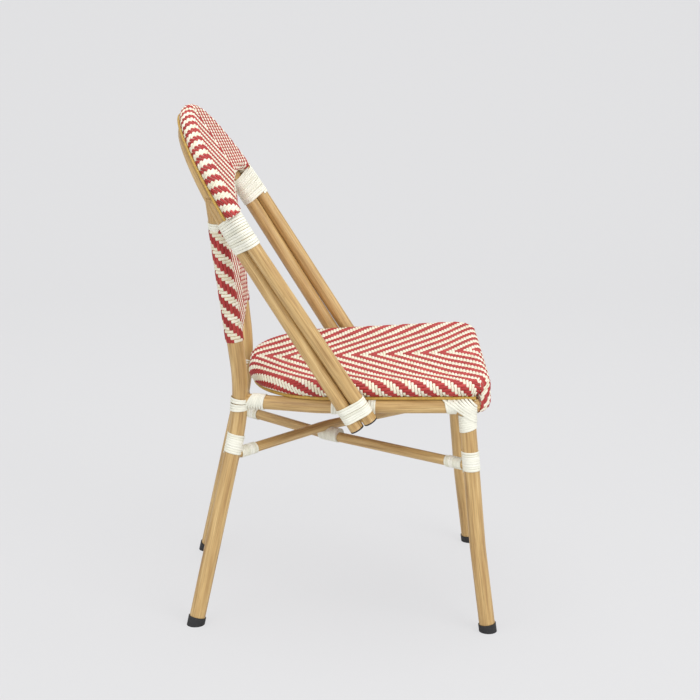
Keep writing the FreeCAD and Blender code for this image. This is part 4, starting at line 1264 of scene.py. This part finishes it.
def make_stage():
    """A pale floor that runs up into a backdrop: a profile of floor, quarter bend and wall, drawn wide."""
    scene = bpy.context.scene
    turn = np.linspace(0, math.pi / 2, STAGE_STEPS)
    profile_x = np.concatenate([[-STAGE_REACH], STAGE_TURN_X + STAGE_BEND * np.sin(turn),
                                [STAGE_TURN_X + STAGE_BEND]])
    profile_z = np.concatenate([[0.0], STAGE_BEND - STAGE_BEND * np.cos(turn), [STAGE_TOP]])
    wide = np.tile((-STAGE_REACH, STAGE_REACH), len(profile_x))
    points = np.stack([np.repeat(profile_x, 2), wide, np.repeat(profile_z, 2)], axis=-1)
    mesh = bpy.data.meshes.new("stage")
    mesh.from_pydata(points.tolist(), [], grid_faces(len(profile_x), 2)[:, ::-1].tolist())
    mesh.polygons.foreach_set("use_smooth", np.full(len(mesh.polygons), True))
    stage = bpy.data.objects.new("stage", mesh)
    scene.collection.objects.link(stage)
    material, nodes, links, shader = new_material("stage")
    shader.inputs["Base Color"].default_value = STAGE_COLOUR
    shader.inputs["Roughness"].default_value = STAGE_ROUGHNESS
    plain = nodes.new("ShaderNodeEmission")
    plain.inputs["Color"].default_value = STAGE_SEEN_COLOUR
    seen = nodes.new("ShaderNodeLightPath")
    weaker = nodes.new("ShaderNodeMath")
    weaker.operation = "MULTIPLY"
    weaker.inputs[1].default_value = STAGE_SEEN_SHARE
    both = nodes.new("ShaderNodeMixShader")
    links.new(seen.outputs["Is Camera Ray"], weaker.inputs[0])
    links.new(weaker.outputs["Value"], both.inputs["Fac"])
    links.new(shader.outputs["BSDF"], both.inputs[1])
    links.new(plain.outputs["Emission"], both.inputs[2])
    links.new(both.outputs["Shader"], nodes["Material Output"].inputs["Surface"])
    mesh.materials.append(material)


def make_lights():
    """Soft lamps and an even white world."""
    scene = bpy.context.scene
    world = bpy.data.worlds.new("world")
    scene.world = world
    world.use_nodes = True
    background = world.node_tree.nodes["Background"]
    background.inputs["Color"].default_value = (1.0, 1.0, 1.0, 1)
    background.inputs["Strength"].default_value = WORLD_STRENGTH
    for name, place, aim, size, power in LAMPS:
        lamp = bpy.data.lights.new(name, "AREA")
        lamp.energy = power
        lamp.size = size
        light = bpy.data.objects.new(name, lamp)
        light.location = place
        light.rotation_euler = (Vector(aim) - Vector(place)).to_track_quat("-Z", "Y").to_euler()
        scene.collection.objects.link(light)


def make_camera():
    """The photo's camera, and colours shown as they are."""
    scene = bpy.context.scene
    scene.view_settings.view_transform = "Standard"
    camera = bpy.data.cameras.new("camera")
    camera.sensor_width = SENSOR_WIDTH
    camera.lens = SENSOR_WIDTH * CAMERA_FOCAL_PIXELS / PICTURE_WIDTH_PIXELS
    eye = bpy.data.objects.new("camera", camera)
    eye.location = CAMERA_PLACE
    level = math.cos(CAMERA_PITCH)
    look = Vector((level * math.cos(CAMERA_YAW), level * math.sin(CAMERA_YAW), -math.sin(CAMERA_PITCH)))
    eye.rotation_euler = look.to_track_quat("-Z", "Y").to_euler()
    scene.collection.objects.link(eye)
    scene.camera = eye


make_tubes()
make_seat()
make_neck()
make_arch()
make_windings()
make_trims()
finish_cad_nodes()
make_stage()
make_lights()
make_camera()
